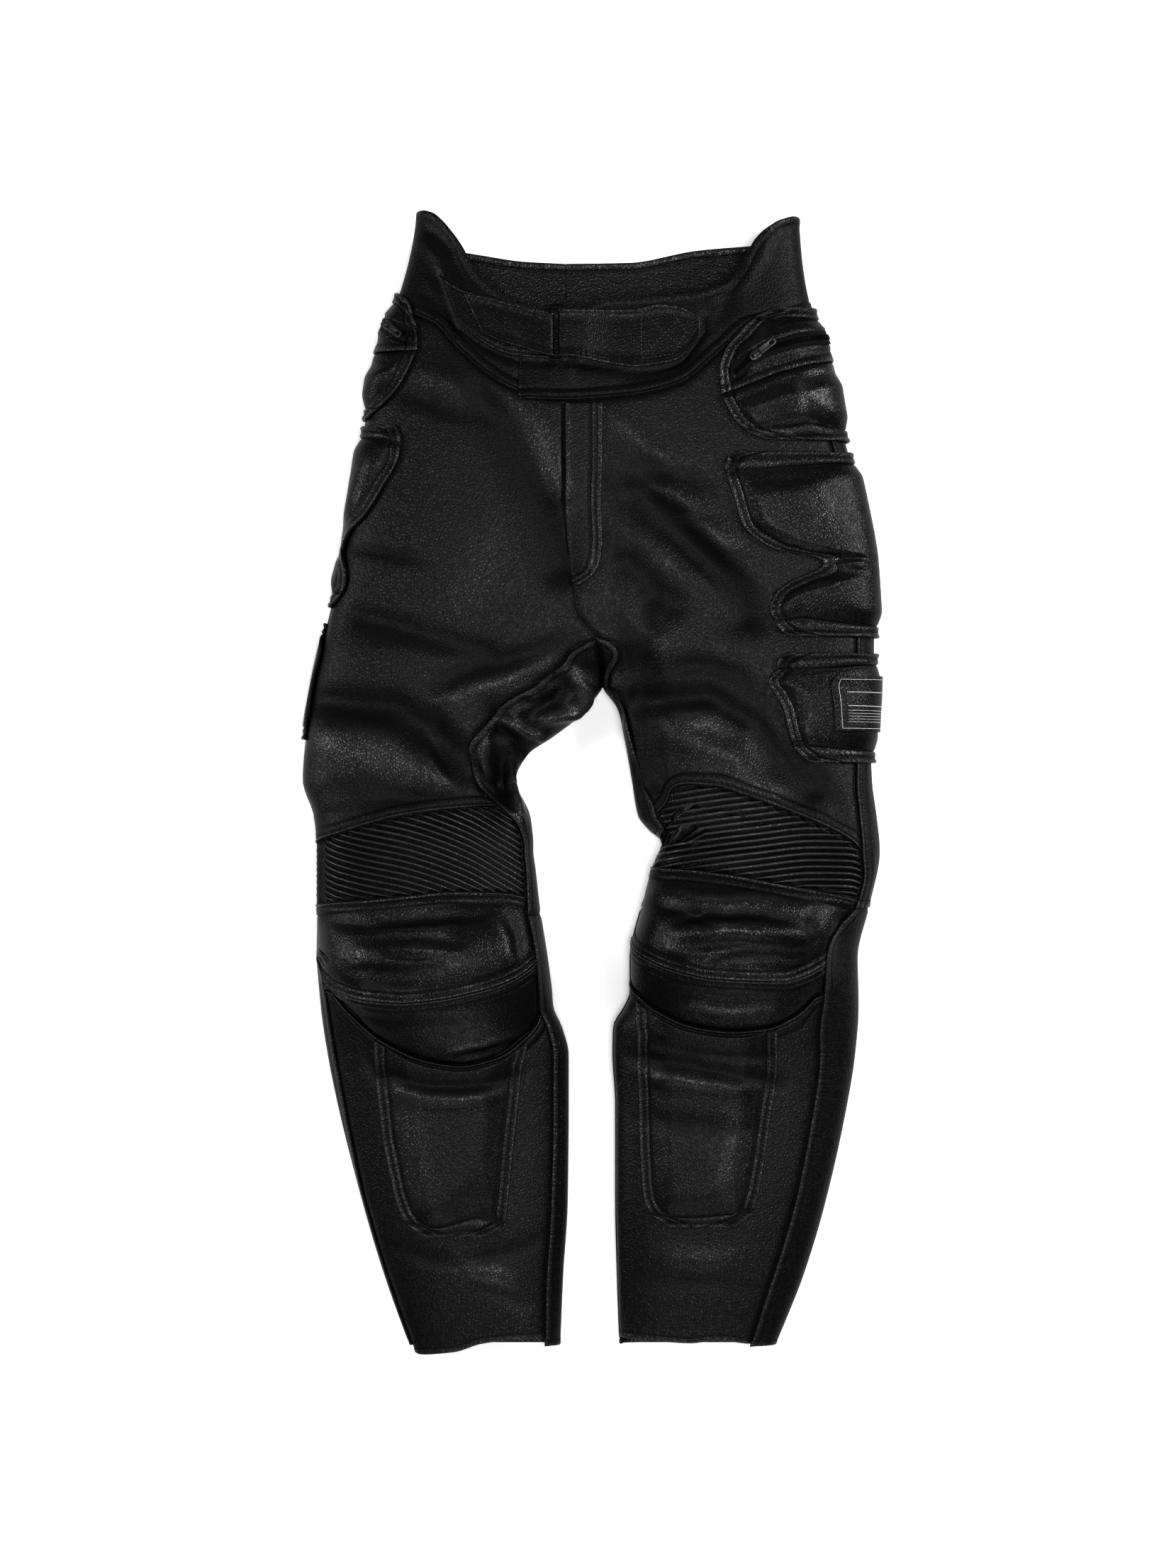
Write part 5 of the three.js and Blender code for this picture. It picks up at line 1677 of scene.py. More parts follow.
@dataclass
class Leg:
    """One leg: its front and back, the gusset, the ribs, the knee cups and the shin."""

    side: Side
    shop: Workshop
    gusset_under: float = -0.24
    under_per_mm: float = 0.0125
    hem_back: float = -509
    narrow_over: float = 34
    gusset_ease: tuple[float, float, float] = (14, 5, 3)
    seam_ends: tuple[float, float] = (-498, 400)
    back_top: float = 472
    back_middle: float = 1.996

    def __post_init__(self) -> None:
        """Reads the seams that cross and run down the leg."""
        seams = SEAMS[self.side]
        right = self.side is Side.RIGHT
        crossing = [name for name in seams if name != "band_top"]
        self.cross = {name: SKIN.edge_y(self.side, seams[name]) for name in crossing}
        self.split = -118.0 if right else -112.0
        self.gusset_end = -118.0 if right else -52.0
        self.narrows = (-400, -300) if right else (-58, 10)
        self.gusset_line = SKIN.edge_a(self.side, GUSSET_LINE[self.side])
        self.gusset_low = GUSSET_LINE[self.side][-1][1]
        self.gusset_top = GUSSET_LINE[self.side][0][1]
        if right:
            outer = [
                (-100, -9), (-118, -8), (-150, -2), (-175, 6), (-222, 8), (-259, 8), (-317, 6), (-381, 3),
                (-445, 3), (-499, 2),
            ]
            inner = [
                (-100, 9), (-118, 11), (-150, 10), (-175, 11), (-222, 13), (-259, 14), (-317, 14),
                (-381, 15), (-445, 15), (-499, 14),
            ]
        else:
            outer = [
                (298, 14), (122, 17), (40, 14), (-20, 17), (-61, 18), (-90, 13), (-110, 14), (-125, 23),
                (-145, 30), (-189, 33), (-221, 36), (-253, 33), (-317, 31), (-381, 29), (-445, 29),
                (-506, 24),
            ]
            inner = [(298, -6), (-125, -6), (-145, -5), (-189, -4), (-506, -4)]
        self.outer_inset, self.inner_inset = Curve(outer), Curve(inner)

    def outer(self, y: Array) -> Array:
        """The side seam, as a(y).

        Args:
            y: the heights along the leg.

        Returns:
            The places round it.
        """
        y = np.asarray(y, float)
        by = self.outer_inset(y)
        x = SKIN.outside(self.side, y) - self.side.value * np.maximum(by, 0)
        return np.where(by > 0, SKIN.around(self.side, x, y), 1 - by * self.under_per_mm)

    def calf(self, y: Array) -> Array:
        """The inside leg seam below the gusset, as a(y).

        Args:
            y: the heights along the leg.

        Returns:
            The places round it.
        """
        by = self.inner_inset(y)
        x = SKIN.inside(self.side, y) + self.side.value * np.maximum(by, 0)
        return np.where(by > 0, SKIN.around(self.side, x, y), by * self.under_per_mm)

    def inner(self, y: Array) -> Array:
        """The front's inner edge, as a(y): the centre front, then the gusset, then the inside leg.

        Args:
            y: the heights along the leg.

        Returns:
            The places round it.
        """
        y = np.asarray(y, float)
        below, under_top, over_top = self.gusset_ease
        low = mix(self.calf(y), self.gusset_line(y), smooth(self.gusset_low - below, self.gusset_low, y))
        return mix(low, 0, smooth(self.gusset_top - under_top, self.gusset_top + over_top, y))

    def under(self, y: Array) -> Array:
        """The back's inner edge, as a(y).

        Args:
            y: the heights along the leg.

        Returns:
            The places round it.
        """
        y = np.asarray(y, float)
        wide = self.gusset_under * smooth(SKIN.crotch, SKIN.crotch - self.narrow_over, y)
        return mix(self.calf(y), wide, smooth(*self.narrows, y))

    def panels(self) -> dict[str, Panel]:
        """The leg's pieces of leather.

        Returns:
            The panels, by the start of their names.
        """
        side, cross = self.side, self.cross
        lap, tuck, hem, single, open_seam = Seam.LAPPED, Seam.TUCKED, Seam.HEM, Seam.SINGLE, Seam.OPEN
        ribs = Ribs(pitch=5.7, relief=3.3, climb=Curve(RIB_CLIMB[side]))

        def piece(name: str, edges: tuple, seams: tuple, **more: object) -> Panel:
            """One panel of this leg."""
            return Panel(f"{name}_{side.tag}", side, *edges, seams=seams, **more)

        outer, inner = self.outer, self.inner
        return {
            "front_thigh": piece(
                "front_thigh", (inner, outer, cross["rib_top"], cross["band_seam"]),
                (tuck, tuck, lap, tuck), step=4.2, creases=CREASES, rubs=PAINTED_LIGHTS, survey_size=(91, 51),
            ),
            "back_thigh": piece(
                "back_thigh", (outer, lambda y: 2 + self.under(y), self.split, Curve(BACK_SEAM[side])),
                (lap, tuck, single, tuck), step=8.0, survey_size=(91, 51),
            ),
            "gusset": piece(
                "gusset", (self.under, inner, self.gusset_end, self.gusset_top),
                (tuck, single, tuck, tuck), step=3.0, creases=GUSSET_CREASES, survey_size=(91, 31),
            ),
            "knee_ribs": piece(
                "knee_ribs", (inner, outer, cross["knee_top"], cross["rib_top"]), (tuck,) * 4,
                step=1.15, ribs=ribs, lift=-4.4, thick=4.4,
            ),
            "knee_cup_upper": piece(
                "knee_cup_upper", (inner, outer, cross["knee_mid"], cross["knee_top"]),
                (tuck, tuck, open_seam, lap), step=2.6, creases=KNEE_CREASES[side], rubs=PAINTED_LIGHTS,
            ),
            "knee_cup_lower": piece(
                "knee_cup_lower", (inner, outer, cross["cup_end"], cross["knee_mid"]),
                (tuck, tuck, tuck, open_seam), step=2.8, creases=KNEE_CREASES[side], rubs=PAINTED_LIGHTS,
            ),
            "shin": piece(
                "shin", (inner, outer, cross["hem"], cross["cup_end"]),
                (tuck, tuck, hem, lap), step=3.8, creases=SHIN_CREASES, rubs=PAINTED_LIGHTS, survey_size=(91, 51),
            ),
            "back_calf": piece(
                "back_calf", (outer, lambda y: 2 + inner(y), self.hem_back, self.split),
                (single, single, hem, tuck), step=6.0, creases=SHIN_CREASES, survey_size=(91, 51),
            ),
        }

    def build(self) -> None:
        """Makes the leg."""
        thread = Thread()
        slots = {
            "knee_ribs": "ribbed_leather",
            "knee_cup_upper": "grained_leather",
            "knee_cup_lower": "grained_leather",
        }
        for name, panel in self.panels().items():
            self.shop.sheet(panel, slots.get(name, "smooth_leather"))
            thread.add(panel.stitch_lines())
        self.shop.sew(thread, f"leg_{self.side.tag}")
        self.shop.join(self.allowance(), f"leg_{self.side.tag}")

    def allowance(self) -> Allowance:
        """The turned leather along this leg's seams.

        Returns:
            The strips.
        """
        found = Allowance()
        down = np.linspace(*self.seam_ends, 300)
        found.add(self.side, self.inner(down), down)
        found.add(self.side, self.outer(down), down)
        low = down[(down > self.gusset_end) & (down < self.gusset_top)]
        found.add(self.side, self.under(low), low)
        back = np.linspace(self.gusset_top - 4, self.back_top, 120)
        found.add(self.side, self.back_middle, back)
        for name in ("rib_top", "knee_top", "knee_mid", "cup_end", "band_seam"):
            seam = self.cross[name]
            middle = float(seam(np.array(0.5)))
            a = np.linspace(float(self.inner(middle)), float(self.outer(middle)), 80)
            found.add(self.side, a, seam(a))
        under = np.linspace(float(self.outer(self.split)), 2 + float(self.under(self.split)), 60)
        found.add(self.side, under, self.split)
        return found


@dataclass
class Waistband:
    """The waistband: two fronts, of which the left runs on as a square-ended tab, and two backs."""

    shop: Workshop
    tab_end: float = -0.15
    tab_over: float = 2.6
    # How far the fronts' tone is lowered: their colour darker and their roughness higher all over
    dull: float = 0.95

    SIDES = {Side.RIGHT: 1.1125, Side.LEFT: 1.06}
    BACK_TOP = {
        Side.RIGHT: [(1.08, 515), (1.2, 508), (1.35, 498), (1.5, 489), (1.67, 481), (1.83, 475), (2, 473)],
        Side.LEFT: [(1.06, 510), (1.2, 508), (1.35, 500), (1.5, 491), (1.67, 485), (1.83, 474), (2, 473)],
    }
    FRONT_SEAMS = (Seam.FLAT, Seam.LAPPED, Seam.ROLLED)
    TAB_LOW = 342.5
    TAB_TOP = 426.6
    TAB_MEETS = (-40, 422)
    TAB_BEND = 422.4

    def ramp(self, x: Array) -> Array:
        """How far the tab's end lies over the other front."""
        return self.tab_over * (1 - smooth(-22, -8, x))

    def knots(self, side: Side, name: str, step: float) -> list[tuple[float, float]]:
        """A seam's points as (a, y), run on to the side of the band.

        Args:
            side: which half.
            name: the seam.
            step: how far the seam climbs to the side.

        Returns:
            The points.
        """
        points = SEAMS[side][name]
        found = [(float(SKIN.around(side, x, y)), y) for x, y in points]
        return [*found, (self.SIDES[side], points[-1][1] + step)]

    def build(self) -> None:
        """Makes the band."""
        thread = Thread()
        for side in Side:
            top, low = self.knots(side, "band_top", -1), self.knots(side, "band_seam", 1)
            start, edge, tab = 0.0, Seam.TUCKED, {}
            if side is Side.LEFT:
                after = float(-SKIN.around(Side.RIGHT, *self.TAB_MEETS))
                start, edge, tab = self.tab_end, Seam.HEM, {"ramp": self.ramp, "survey_size": (41, 81)}
                low = [(start, self.TAB_LOW), *low]
                top = [(start, self.TAB_TOP), (after, self.TAB_BEND), *top]
            front = Panel(
                f"waistband_front_{side.tag}", side, start, self.SIDES[side], Curve(low), Curve(top),
                seams=(edge, *self.FRONT_SEAMS), step=4.0, creases=BAND_CREASES, dull=self.dull, **tab,
            )
            back = Panel(
                f"waistband_back_{side.tag}", side, self.SIDES[side], 2.0, Curve(BACK_SEAM[side]),
                Curve(self.BACK_TOP[side]), seams=(Seam.FLAT, *self.FRONT_SEAMS), step=5.0, lined=True,
            )
            for panel in (front, back):
                self.shop.sheet(panel, "grained_leather")
                thread.add(panel.stitch_lines())
        self.shop.sew(thread, "waistband")


BAND_CREASES: tuple[Fold, ...] = (
    Fold(
        -2.2, 3, ((-139, 457), (-121, 409), (-102, 395), (-85, 385), (-72, 380), (-50, 376.5), (-36, 376.5))
    ),
    Fold(-2.2, 3, ((-24, 377), (8, 373.5), (40, 369), (62, 371), (81, 375.5), (102, 403), (101, 417))),
    Fold(-2.2, 2.5, ((-63, 376), (-61, 344))),
    Crease(-2.4, 7, ((-152, 500), (-128, 480), (-118, 452))),
    Crease(1.6, 6, ((-150, 492), (-132, 470), (-124, 446))),
    Crease(-1.6, 6, ((-150, 440), (-136, 428), (-120, 412))),
    Crease(-1.6, 6, ((30, 362), (70, 370), (104, 392))),
    Crease(1.6, 7, ((166, 500), (150, 470), (132, 440))),
    Crease(-2.0, 8, ((150, 490), (130, 452), (118, 420))),
)

# The pads: how high they lie, how thick they are, how far they turn under, and how full a pocket is
PAD_LIFT = 0.95
PAD_THICK = 2.6
PAD_TURN = 30 / 180 * math.pi
POCKET_PUFF = 3.0


@dataclass
class Padding:
    """The pads on one side: the hip pocket, the hip, the thigh, the lower thigh and the shin."""

    side: Side
    shop: Workshop

    def shapes(self) -> dict[str, tuple[Points, float | Line, float | Line, float]]:
        """The pads' inner edges, bottoms, tops and heights.

        Returns:
            Each by its name.
        """
        if self.side is Side.RIGHT:
            hip = [
                (-161, 441), (-158, 422), (-154, 406), (-153.6, 390), (-158, 377.6), (-168, 358), (-184, 339),
                (-198, 327),
            ]
            split = [(-153, 387), (-190, 387)]
            pocket_top = SKIN.edge_y(self.side, [(-158, 427), (-163, 434), (-169, 440), (-173, 442)])
            thigh = [
                (-187, 323), (-173, 320), (-168, 307), (-169.6, 294), (-184, 265.6), (-200, 240),
                (-216, 221), (-220, 210), (-219, 201), (-217, 189), (-218, 176), (-226.6, 163), (-235, 153),
            ]
            low = [(-238, 146), (-240, 120), (-247, 90), (-252, 60), (-255, 37)]
            hip_bottom, thigh_ends, low_ends = 327.0, (158.0, 321.0), (39.0, 144.0)
        else:
            hip = [
                (171.5, 429), (149, 419), (133, 403), (120, 387), (115, 368), (117, 349), (123.5, 333),
                (136, 317), (152, 309), (171.5, 305),
            ]
            split = [(119, 347.5), (146, 358), (171.5, 368), (200, 376), (215, 379.5)]
            pocket_top = 427.0
            thigh = [
                (136, 299), (121.6, 291), (120, 281.6), (127, 259), (136, 230), (149, 217.6), (165, 209),
                (200, 202.5), (209, 197), (203.5, 192), (181, 182), (165, 169.6), (160.6, 153.6),
                (165, 141), (175, 133), (191, 129),
            ]
            low = [(180, 119), (168, 112), (166, 102.4), (172, 67), (181, 35), (191, 22.4), (205, 16)]
            hip_bottom, thigh_ends, low_ends = 307.0, (131.0, 297.0), (18.0, 117.0)
        split = SKIN.edge_y(self.side, split)
        return {
            "hip_pocket": (hip, split, pocket_top, POCKET_PUFF),
            "hip_pad": (hip, hip_bottom, split, 4.0),
            "thigh_pad": (thigh, *thigh_ends, 4.0),
            "lower_thigh_pad": (low, *low_ends, 3.0),
        }

    def shin(self) -> Panel:
        """The shin pad.

        Returns:
            Its panel.
        """
        if self.side is Side.RIGHT:
            outer = [
                (-193, -200), (-193, -253), (-189, -291), (-184, -330), (-176, -368), (-171, -384),
                (-161, -400), (-148, -408),
            ]
            inner = [
                (-56, -200), (-60, -253), (-65, -298), (-70, -342), (-73.6, -381), (-77, -396), (-86, -404),
                (-100, -408),
            ]
            bottom = -408.0
        else:
            outer = [
                (170, -200), (168, -259), (162, -304), (155.5, -349), (150, -375), (143, -391), (128, -399),
            ]
            inner = [
                (43, -190), (43.5, -227), (44.5, -285), (46.5, -349), (49, -374), (56, -388.5), (72, -399),
            ]
            bottom = -399.0
        end = SKIN.edge_y(self.side, SEAMS[self.side]["cup_end"])
        return Panel(
            f"shin_pad_{self.side.tag}", self.side, SKIN.edge_a(self.side, inner),
            SKIN.edge_a(self.side, outer), bottom, lambda a: end(a) - 4,
            seams=(Seam.PAD, Seam.PAD, Seam.PAD, Seam.FLAT), step=3.4, lift=PAD_LIFT + 0.3, thick=0.9,
            puff=4.6, puff_reach=(10.6, 30), creases=SHIN_CREASES, rubs=PAINTED_LIGHTS,
        )

    def build(self, zip_path: Array) -> None:
        """Makes the pads.

        Args:
            zip_path: the line that the zip follows on the skin, under the pocket.
        """
        thread = Thread()

        def turned(y: Array) -> Array:
            """The pads' outer edge, turned under the side of the leg."""
            return 1 + PAD_TURN / SKIN.section(self.side, np.asarray(y, float))[1]

        styles = {
            "hip_pocket": (Seam.PAD, Seam.FLAT, Seam.SINGLE, Seam.PAD),
            "hip_pad": (Seam.PAD, Seam.FLAT, Seam.PAD, Seam.TUCKED),
            "thigh_pad": (Seam.PAD, Seam.FLAT, Seam.PAD, Seam.PAD),
            "lower_thigh_pad": (Seam.PAD, Seam.FLAT, Seam.PAD, Seam.PAD),
        }
        for name, (edge, bottom, top, puff) in self.shapes().items():
            panel = Panel(
                f"{name}_{self.side.tag}", self.side, SKIN.edge_a(self.side, edge), turned, bottom, top,
                seams=styles[name], step=3.4, lift=PAD_LIFT, thick=PAD_THICK - 0.5, puff=puff + 0.4,
                creases=PAD_CREASES, rubs=HIP_PAINTED_LIGHTS,
                slot=Slot(zip_path) if name == "hip_pocket" else None,
            )
            self.shop.pad(panel, "grained_leather", fill=0.5)
            thread.add(panel.stitch_lines())
        shin = self.shin()
        self.shop.pad(shin, "smooth_leather", fill=0.4)
        thread.add(shin.stitch_lines())
        self.shop.sew(thread, f"pads_{self.side.tag}")


PAD_CREASES: tuple[Fold, ...] = (
    Crease(1.4, 6, ((190, 372), (194, 350), (196, 326))),
    Crease(-1.4, 8, ((176, 322), (200, 318), (224, 320))),
    Crease(-1.2, 6, ((142, 272), (176, 270), (206, 276))),
    Crease(1.4, 9, ((196, 272), (206, 250), (210, 226))),
    Crease(-1.2, 5, ((192, 392), (210, 384), (224, 380))),
    Crease(-1.2, 6, ((-196, 300), (-182, 288), (-176, 282))),
    Crease(-1.2, 6, ((-192, 350), (-180, 356), (-170, 366))),
)


@dataclass
class Front:
    """The fly flap and the square patch."""

    shop: Workshop
    patch_gap: float = 0.9
    patch_border: float = 3.4
    border_wide: float = 0.5
    rule_high: float = 0.25
    rule_steps: int = 15

    RULES = ((0.7, 0.7), (0.46, 0.7), (0.38, 0.4), (0.33, 0.4), (0.28, 0.4), (0.23, 0.4), (0.18, 0.4))

    def build(self) -> None:
        """Makes both, with the patch's border and ruled lines."""
        thread = Thread()
        edge = [(-10, 176), (5, 187.5), (10.2, 202), (11.5, 221), (10.2, 259), (11.5, 291), (11.5, 338)]
        fly = Panel(
            "fly", Side.LEFT, 0.0, SKIN.edge_a(Side.LEFT, edge), 177.0, 340.0,
            seams=(Seam.FOLDED, Seam.PAD, Seam.FLAT, Seam.FLAT), step=2.6, lift=PAD_LIFT, thick=1.2,
        )
        self.shop.sheet(fly, "smooth_leather", rests_on=["front_thigh_left"])
        thread.add(fly.stitch_lines())
        self.shop.sew(thread, "fly")
        inner = SKIN.edge_a(Side.LEFT, [(218, 46), (218, 97)])
        patch = Panel(
            "thigh_patch_left", Side.LEFT, inner, 1.06, 46.0, 97.0,
            seams=(Seam.FLAT,) * 4, step=2.0, lift=PAD_LIFT + PAD_THICK + POCKET_PUFF + self.patch_gap,
            thick=1.2,
        )
        self.shop.sheet(patch, "grained_leather", rests_on=["lower_thigh_pad_left"])
        self.rules(patch)

    def rules(self, patch: Panel) -> None:
        """The patch's border and its plain ruled lines, as low printed bars.

        Args:
            patch: the patch.
        """
        left = self.patch_border / float(patch.fields["run"][:, -1].mean())
        low = self.patch_border / float(patch.fields["climb"][-1].mean())
        bars = [
            ((left, low), (left, 1 - low), self.border_wide),
            ((1 - left, low), (1 - left, 1 - low), self.border_wide),
            ((left, low), (1 - left, low), self.border_wide),
            ((left, 1 - low), (1 - left, 1 - low), self.border_wide),
        ]
        bars += [((left * 2, height), (1 - left * 2, height), wide) for height, wide in self.RULES]
        points, faces = [], []
        for (u0, v0), (u1, v1), wide in bars:
            t = np.linspace(0, 1, self.rule_steps)
            mid, normal, _ = patch.surface(mix(u0, u1, t), mix(v0, v1, t))
            sideways = unit(np.cross(normal, np.gradient(mid, axis=0))) * wide / 2
            up = normal * self.rule_high
            base = sum(len(p) for p in points)
            ring = np.stack([mid - sideways, mid - sideways + up, mid + sideways + up, mid + sideways], 1)
            points.append(ring.reshape(-1, 3))
            last = base + 4 * (len(t) - 1)
            for start in range(base, last, 4):
                faces += tube(start)
            faces.append((base + 3, base + 2, base + 1, base))
            faces.append((last, last + 1, last + 2, last + 3))
        made = Mesh(np.concatenate(points), faces).link("patch_rules", self.shop.print_ink)
        repair_normals(made)
        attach(made, BODY)


def tube(start: int) -> list[tuple[int, ...]]:
    """The four faces between one ring of four points and the next."""
    return [(start + c, start + d, start + 4 + d, start + 4 + c) for c, d in ((0, 1), (1, 2), (2, 3), (3, 0))]


def repair_normals(made: bpy.types.Object) -> None:
    """Turns a closed mesh's faces outwards.

    Args:
        made: the object.
    """
    shape = bmesh.new()
    shape.from_mesh(made.data)
    bmesh.ops.recalc_face_normals(shape, faces=shape.faces)
    shape.to_mesh(made.data)
    shape.free()


@dataclass(frozen=True)
class Station:
    """A line across a strap, from its low to its high edge, its height and how far it has turned."""

    low: tuple[float, float]
    high: tuple[float, float]
    lift: float
    turn: float = 0.0
    way: float = 1.0


@dataclass
class WaistStrap:
    """The strap that turns back round the ring, and the pointed tab that holds the ring."""

    shop: Workshop
    thick: float = 1.7
    gap: float = 0.4
    bar: float = 1.4
    puff: float = 0.9
    stitch: float = 3.6
    stitch_lift: float = 0.3
    wide: float = 46.0
    tab_over: float = 2.6
    slack: float = 0.35
    groove: tuple[float, float] = (0.5, 0.9)
    roll: tuple[float, float] = (0.45, 1.1)
    stuffed: tuple[float, float] = (4.0, 6.5)
    stuffed_more: tuple[float, float] = (6.0, 16)
    # The tone: painted highlight along the rims, painted shade in the stitch hollows and at the cut edge, and
    # darker towards the middle
    rim_tone: float = 0.8
    cut_tone: tuple[float, float] = (1.6, 0.8)
    middle_tone: tuple[float, float, float] = (1.1, 4.6, 6.4)
    rows_between: int = 9
    steps_a_station: int = 14
    line_steps: int = 400
    ring_x: tuple[float, float] = (-35.5, -24.5)

    RIM = (0.0, 0.5, 1.0, 1.8, 2.8, 3.6, 4.4, 5.4, 6.8)

    def __post_init__(self) -> None:
        """Works out the heights at which the layers lie."""
        half = self.thick / 2
        self.low_run = PAD_LIFT + half
        self.over_tab = self.tab_over + PAD_LIFT + half
        self.radius = self.bar + self.slack + half
        self.bar_height = self.over_tab + self.radius
        self.layer = self.thick + self.gap

    def turn_round(self, x: float, low: float, high: float, way: float) -> list[Station]:
        """The turn of the leather round a bar.

        Args:
            x: the bar.
            low: the strap's lower edge there.
            high: its upper edge.
            way: 1 to bulge towards +X, and -1 towards -X.

        Returns:
            The stations.
        """
        found = []
        for quarter in (0.5, 1, 1.5, 2, 2.5):
            turn = quarter * math.pi / 3
            at = x + way * self.radius * math.sin(turn)
            lift = self.bar_height - self.radius * math.cos(turn)
            found.append(Station((at, low), (at, high), lift, math.pi - turn, way))
        return found

    def strap(self) -> list[Station]:
        """The strap: under run, turn and over run.

        Returns:
            Its stations.
        """
        bar, over, layer = self.ring_x[0], self.over_tab, self.layer
        top = self.bar_height + self.radius
        under = [
            ((-118, 411), (-136, 455), self.low_run), ((-101, 398), (-112, 441), self.low_run),
            ((-85, 388), (-88, 435), self.low_run), ((-72, 383), (-74, 430), self.low_run),
            ((-62, 381), (-64, 427.5), over), ((-50, 379.8), (-50, 424), over),
            ((bar, 379), (bar, 421), over),
        ]
        run = [
            ((bar, 380.5), (bar, 418), top), ((-47, 383.5), (-47, 420), over + layer + 1.6),
            ((-60, 388), (-60, 425.5), over + layer), ((-72, 391.5), (-74, 429), over + layer - 0.6),
            ((-84, 396), (-90, 434), self.low_run + layer), ((-96, 402), (-113, 438), self.low_run + layer),
        ]
        first = [Station(*row, turn=math.pi) for row in under]
        return [*first, *self.turn_round(bar, 380, 419.5, 1), *[Station(*row) for row in run]]

    def holder(self) -> list[Station]:
        """The ring's holder: a short under run, the turn, and the pointed tab.

        Returns:
            Its stations.
        """
        bar, over = self.ring_x[1], self.over_tab
        top = self.bar_height + self.radius
        run = [
            ((bar, 380), (bar, 423), top), ((-15, 380), (-15, 423), top - 0.6),
            ((-6, 378.5), (-6, 423), over + self.layer + 1.4), ((8, 376), (8, 423.5), self.low_run + 2.4),
            ((22, 373.5), (22, 424), self.low_run), ((40, 371.5), (40, 424.5), self.low_run),
            ((62, 374), (62, 429), self.low_run), ((79, 378.5), (79, 427), self.low_run),
            ((99, 403), (99, 416), self.low_run),
        ]
        under = [((-13, 380), (-13, 423), over), ((bar, 380), (bar, 423), over)]
        first = [Station(*row, turn=math.pi, way=-1) for row in under]
        return [*first, *self.turn_round(bar, 380, 423, -1), *[Station(*row) for row in run]]

    def faces(self, stations: list[Station], t: Array, v: Array) -> tuple[Array, Array]:
        """The middle of the leather and the way it faces.

        Args:
            stations: the lines across the strap.
            t: places along it, counted in stations.
            v: shares across it.

        Returns:
            The points and the facing directions.
        """
        rows = zip(*[(*s.low, *s.high, s.lift, s.turn, s.way) for s in stations])
        low_x, low_y, high_x, high_y, lift, turn, way = [Curve(list(enumerate(row)))(t) for row in rows]
        x, y = mix(low_x, high_x, v), mix(low_y, high_y, v)
        middle, facing = np.empty(x.shape + (3,)), np.empty(x.shape + (3,))
        for side, mask in ((Side.RIGHT, x < CENTRE_FRONT), (Side.LEFT, x >= CENTRE_FRONT)):
            if not mask.any():
                continue
            a = SKIN.around(side, x[mask], y[mask])
            normal = SKIN.outward(side, a, y[mask])
            sideways = unit(np.array([1.0, 0, 0]) - normal * normal[:, :1])
            angle = turn[mask][:, None]
            facing[mask] = normal * np.cos(angle) + sideways * np.sin(angle) * way[mask][:, None]
            middle[mask] = SKIN.point(side, a, y[mask]) + normal * lift[mask][:, None]
        return middle, facing

    def mesh(self, stations: list[Station], flip: bool) -> tuple[Mesh, float, list[StitchLine]]:
        """A strap's wall, its length and its stitch lines.

        Args:
            stations: the lines across it.
            flip: whether its grid runs the other way round.

        Returns:
            The mesh, the length and the stitch lines.
        """
        last = len(stations) - 1
        v = placed(self.RIM, self.RIM, self.rows_between, self.wide) / self.wide
        t = np.linspace(0, last, self.steps_a_station * last + 1)
        grid_t, grid_v = np.meshgrid(t, v)
        middle, facing = self.faces(stations, grid_t, grid_v)
        far = np.minimum(grid_v, 1 - grid_v) * self.wide
        ends = cumulative(middle, 1)
        far_end = np.minimum(ends, ends[:, -1:] - ends)
        near = np.minimum(far, far_end)
        thin = self.groove[0] * bell(near - self.stitch, self.groove[1])
        thin = thin + self.roll[0] * np.clip(1 - near / self.roll[1], 0, 1) ** 2
        full = 1 - smooth(*self.stuffed, near) + 0.5 * smooth(*self.stuffed_more, near)
        half = (self.thick / 2 - thin)[..., None]
        outer = (self.thick / 2 - thin + self.puff * full)[..., None]
        uv = np.stack([ends, grid_v * self.wide], -1)
        # Painted highlight on the rims, painted shade in the stitch hollows and at the cut edge, darker
        # towards the middle
        tone = self.rim_tone - PAINTED_LIGHT_AND_WEAR.stitches * bell(near - self.stitch, EDGE.hollow)
        tone = tone - self.cut_tone[0] * bell(near, self.cut_tone[1])
        tone = tone - self.middle_tone[0] * smooth(*self.middle_tone[1:], near)
        seam = np.stack([far, ends, np.clip(tone, -1, 1)], -1)
        made = wall(middle + facing * outer, middle - facing * half, flip, uv, seam)
        lines = []
        for share in (self.stitch / self.wide, 1 - self.stitch / self.wide):
            keep = np.linspace(0, last, self.line_steps)
            path, out = self.faces(stations, keep, np.full(self.line_steps, share))
            up = out[:, 2] > 0
            lift = self.thick / 2 - self.stitch_lift
            lines.append((path[up] + out[up] * lift, out[up]))
        return made, float(ends[:, -1].mean()), lines

    def build(self) -> None:
        """Makes the strap, the holder with its crossed stitching, and the ring."""
        thread = Thread(wide=0.9, high=0.5)
        for name, stations, flip, rests in (
            ("waist_strap", self.strap(), True, "waistband_front_right"),
            ("ring_holder", self.holder(), False, "waistband_front_left"),
        ):
            mesh, length, lines = self.mesh(stations, flip)
            made = mesh.link(f"{name}_hide", self.shop.grained_leather)
            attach(made, BODY)
            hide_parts(name)
            thread.add(lines)
        crossed = Thread(pitch=3.8, gap=0.3, wide=1.3, high=0.8)
        corners = [(46, 379), (74, 383), (86, 403), (74, 420), (46, 422), (46, 379)]
        cross = [(46, 379), (80, 416)], [(46, 422), (82, 388)]
        for path in (corners, *cross):
            crossed.add([self.on_holder(path)])
        self.shop.sew(thread, "strap")
        self.shop.sew(crossed, "holder_cross", raised=True)
        polish(self.shop.dark_metal, "strap_ring", 0.35, BODY)

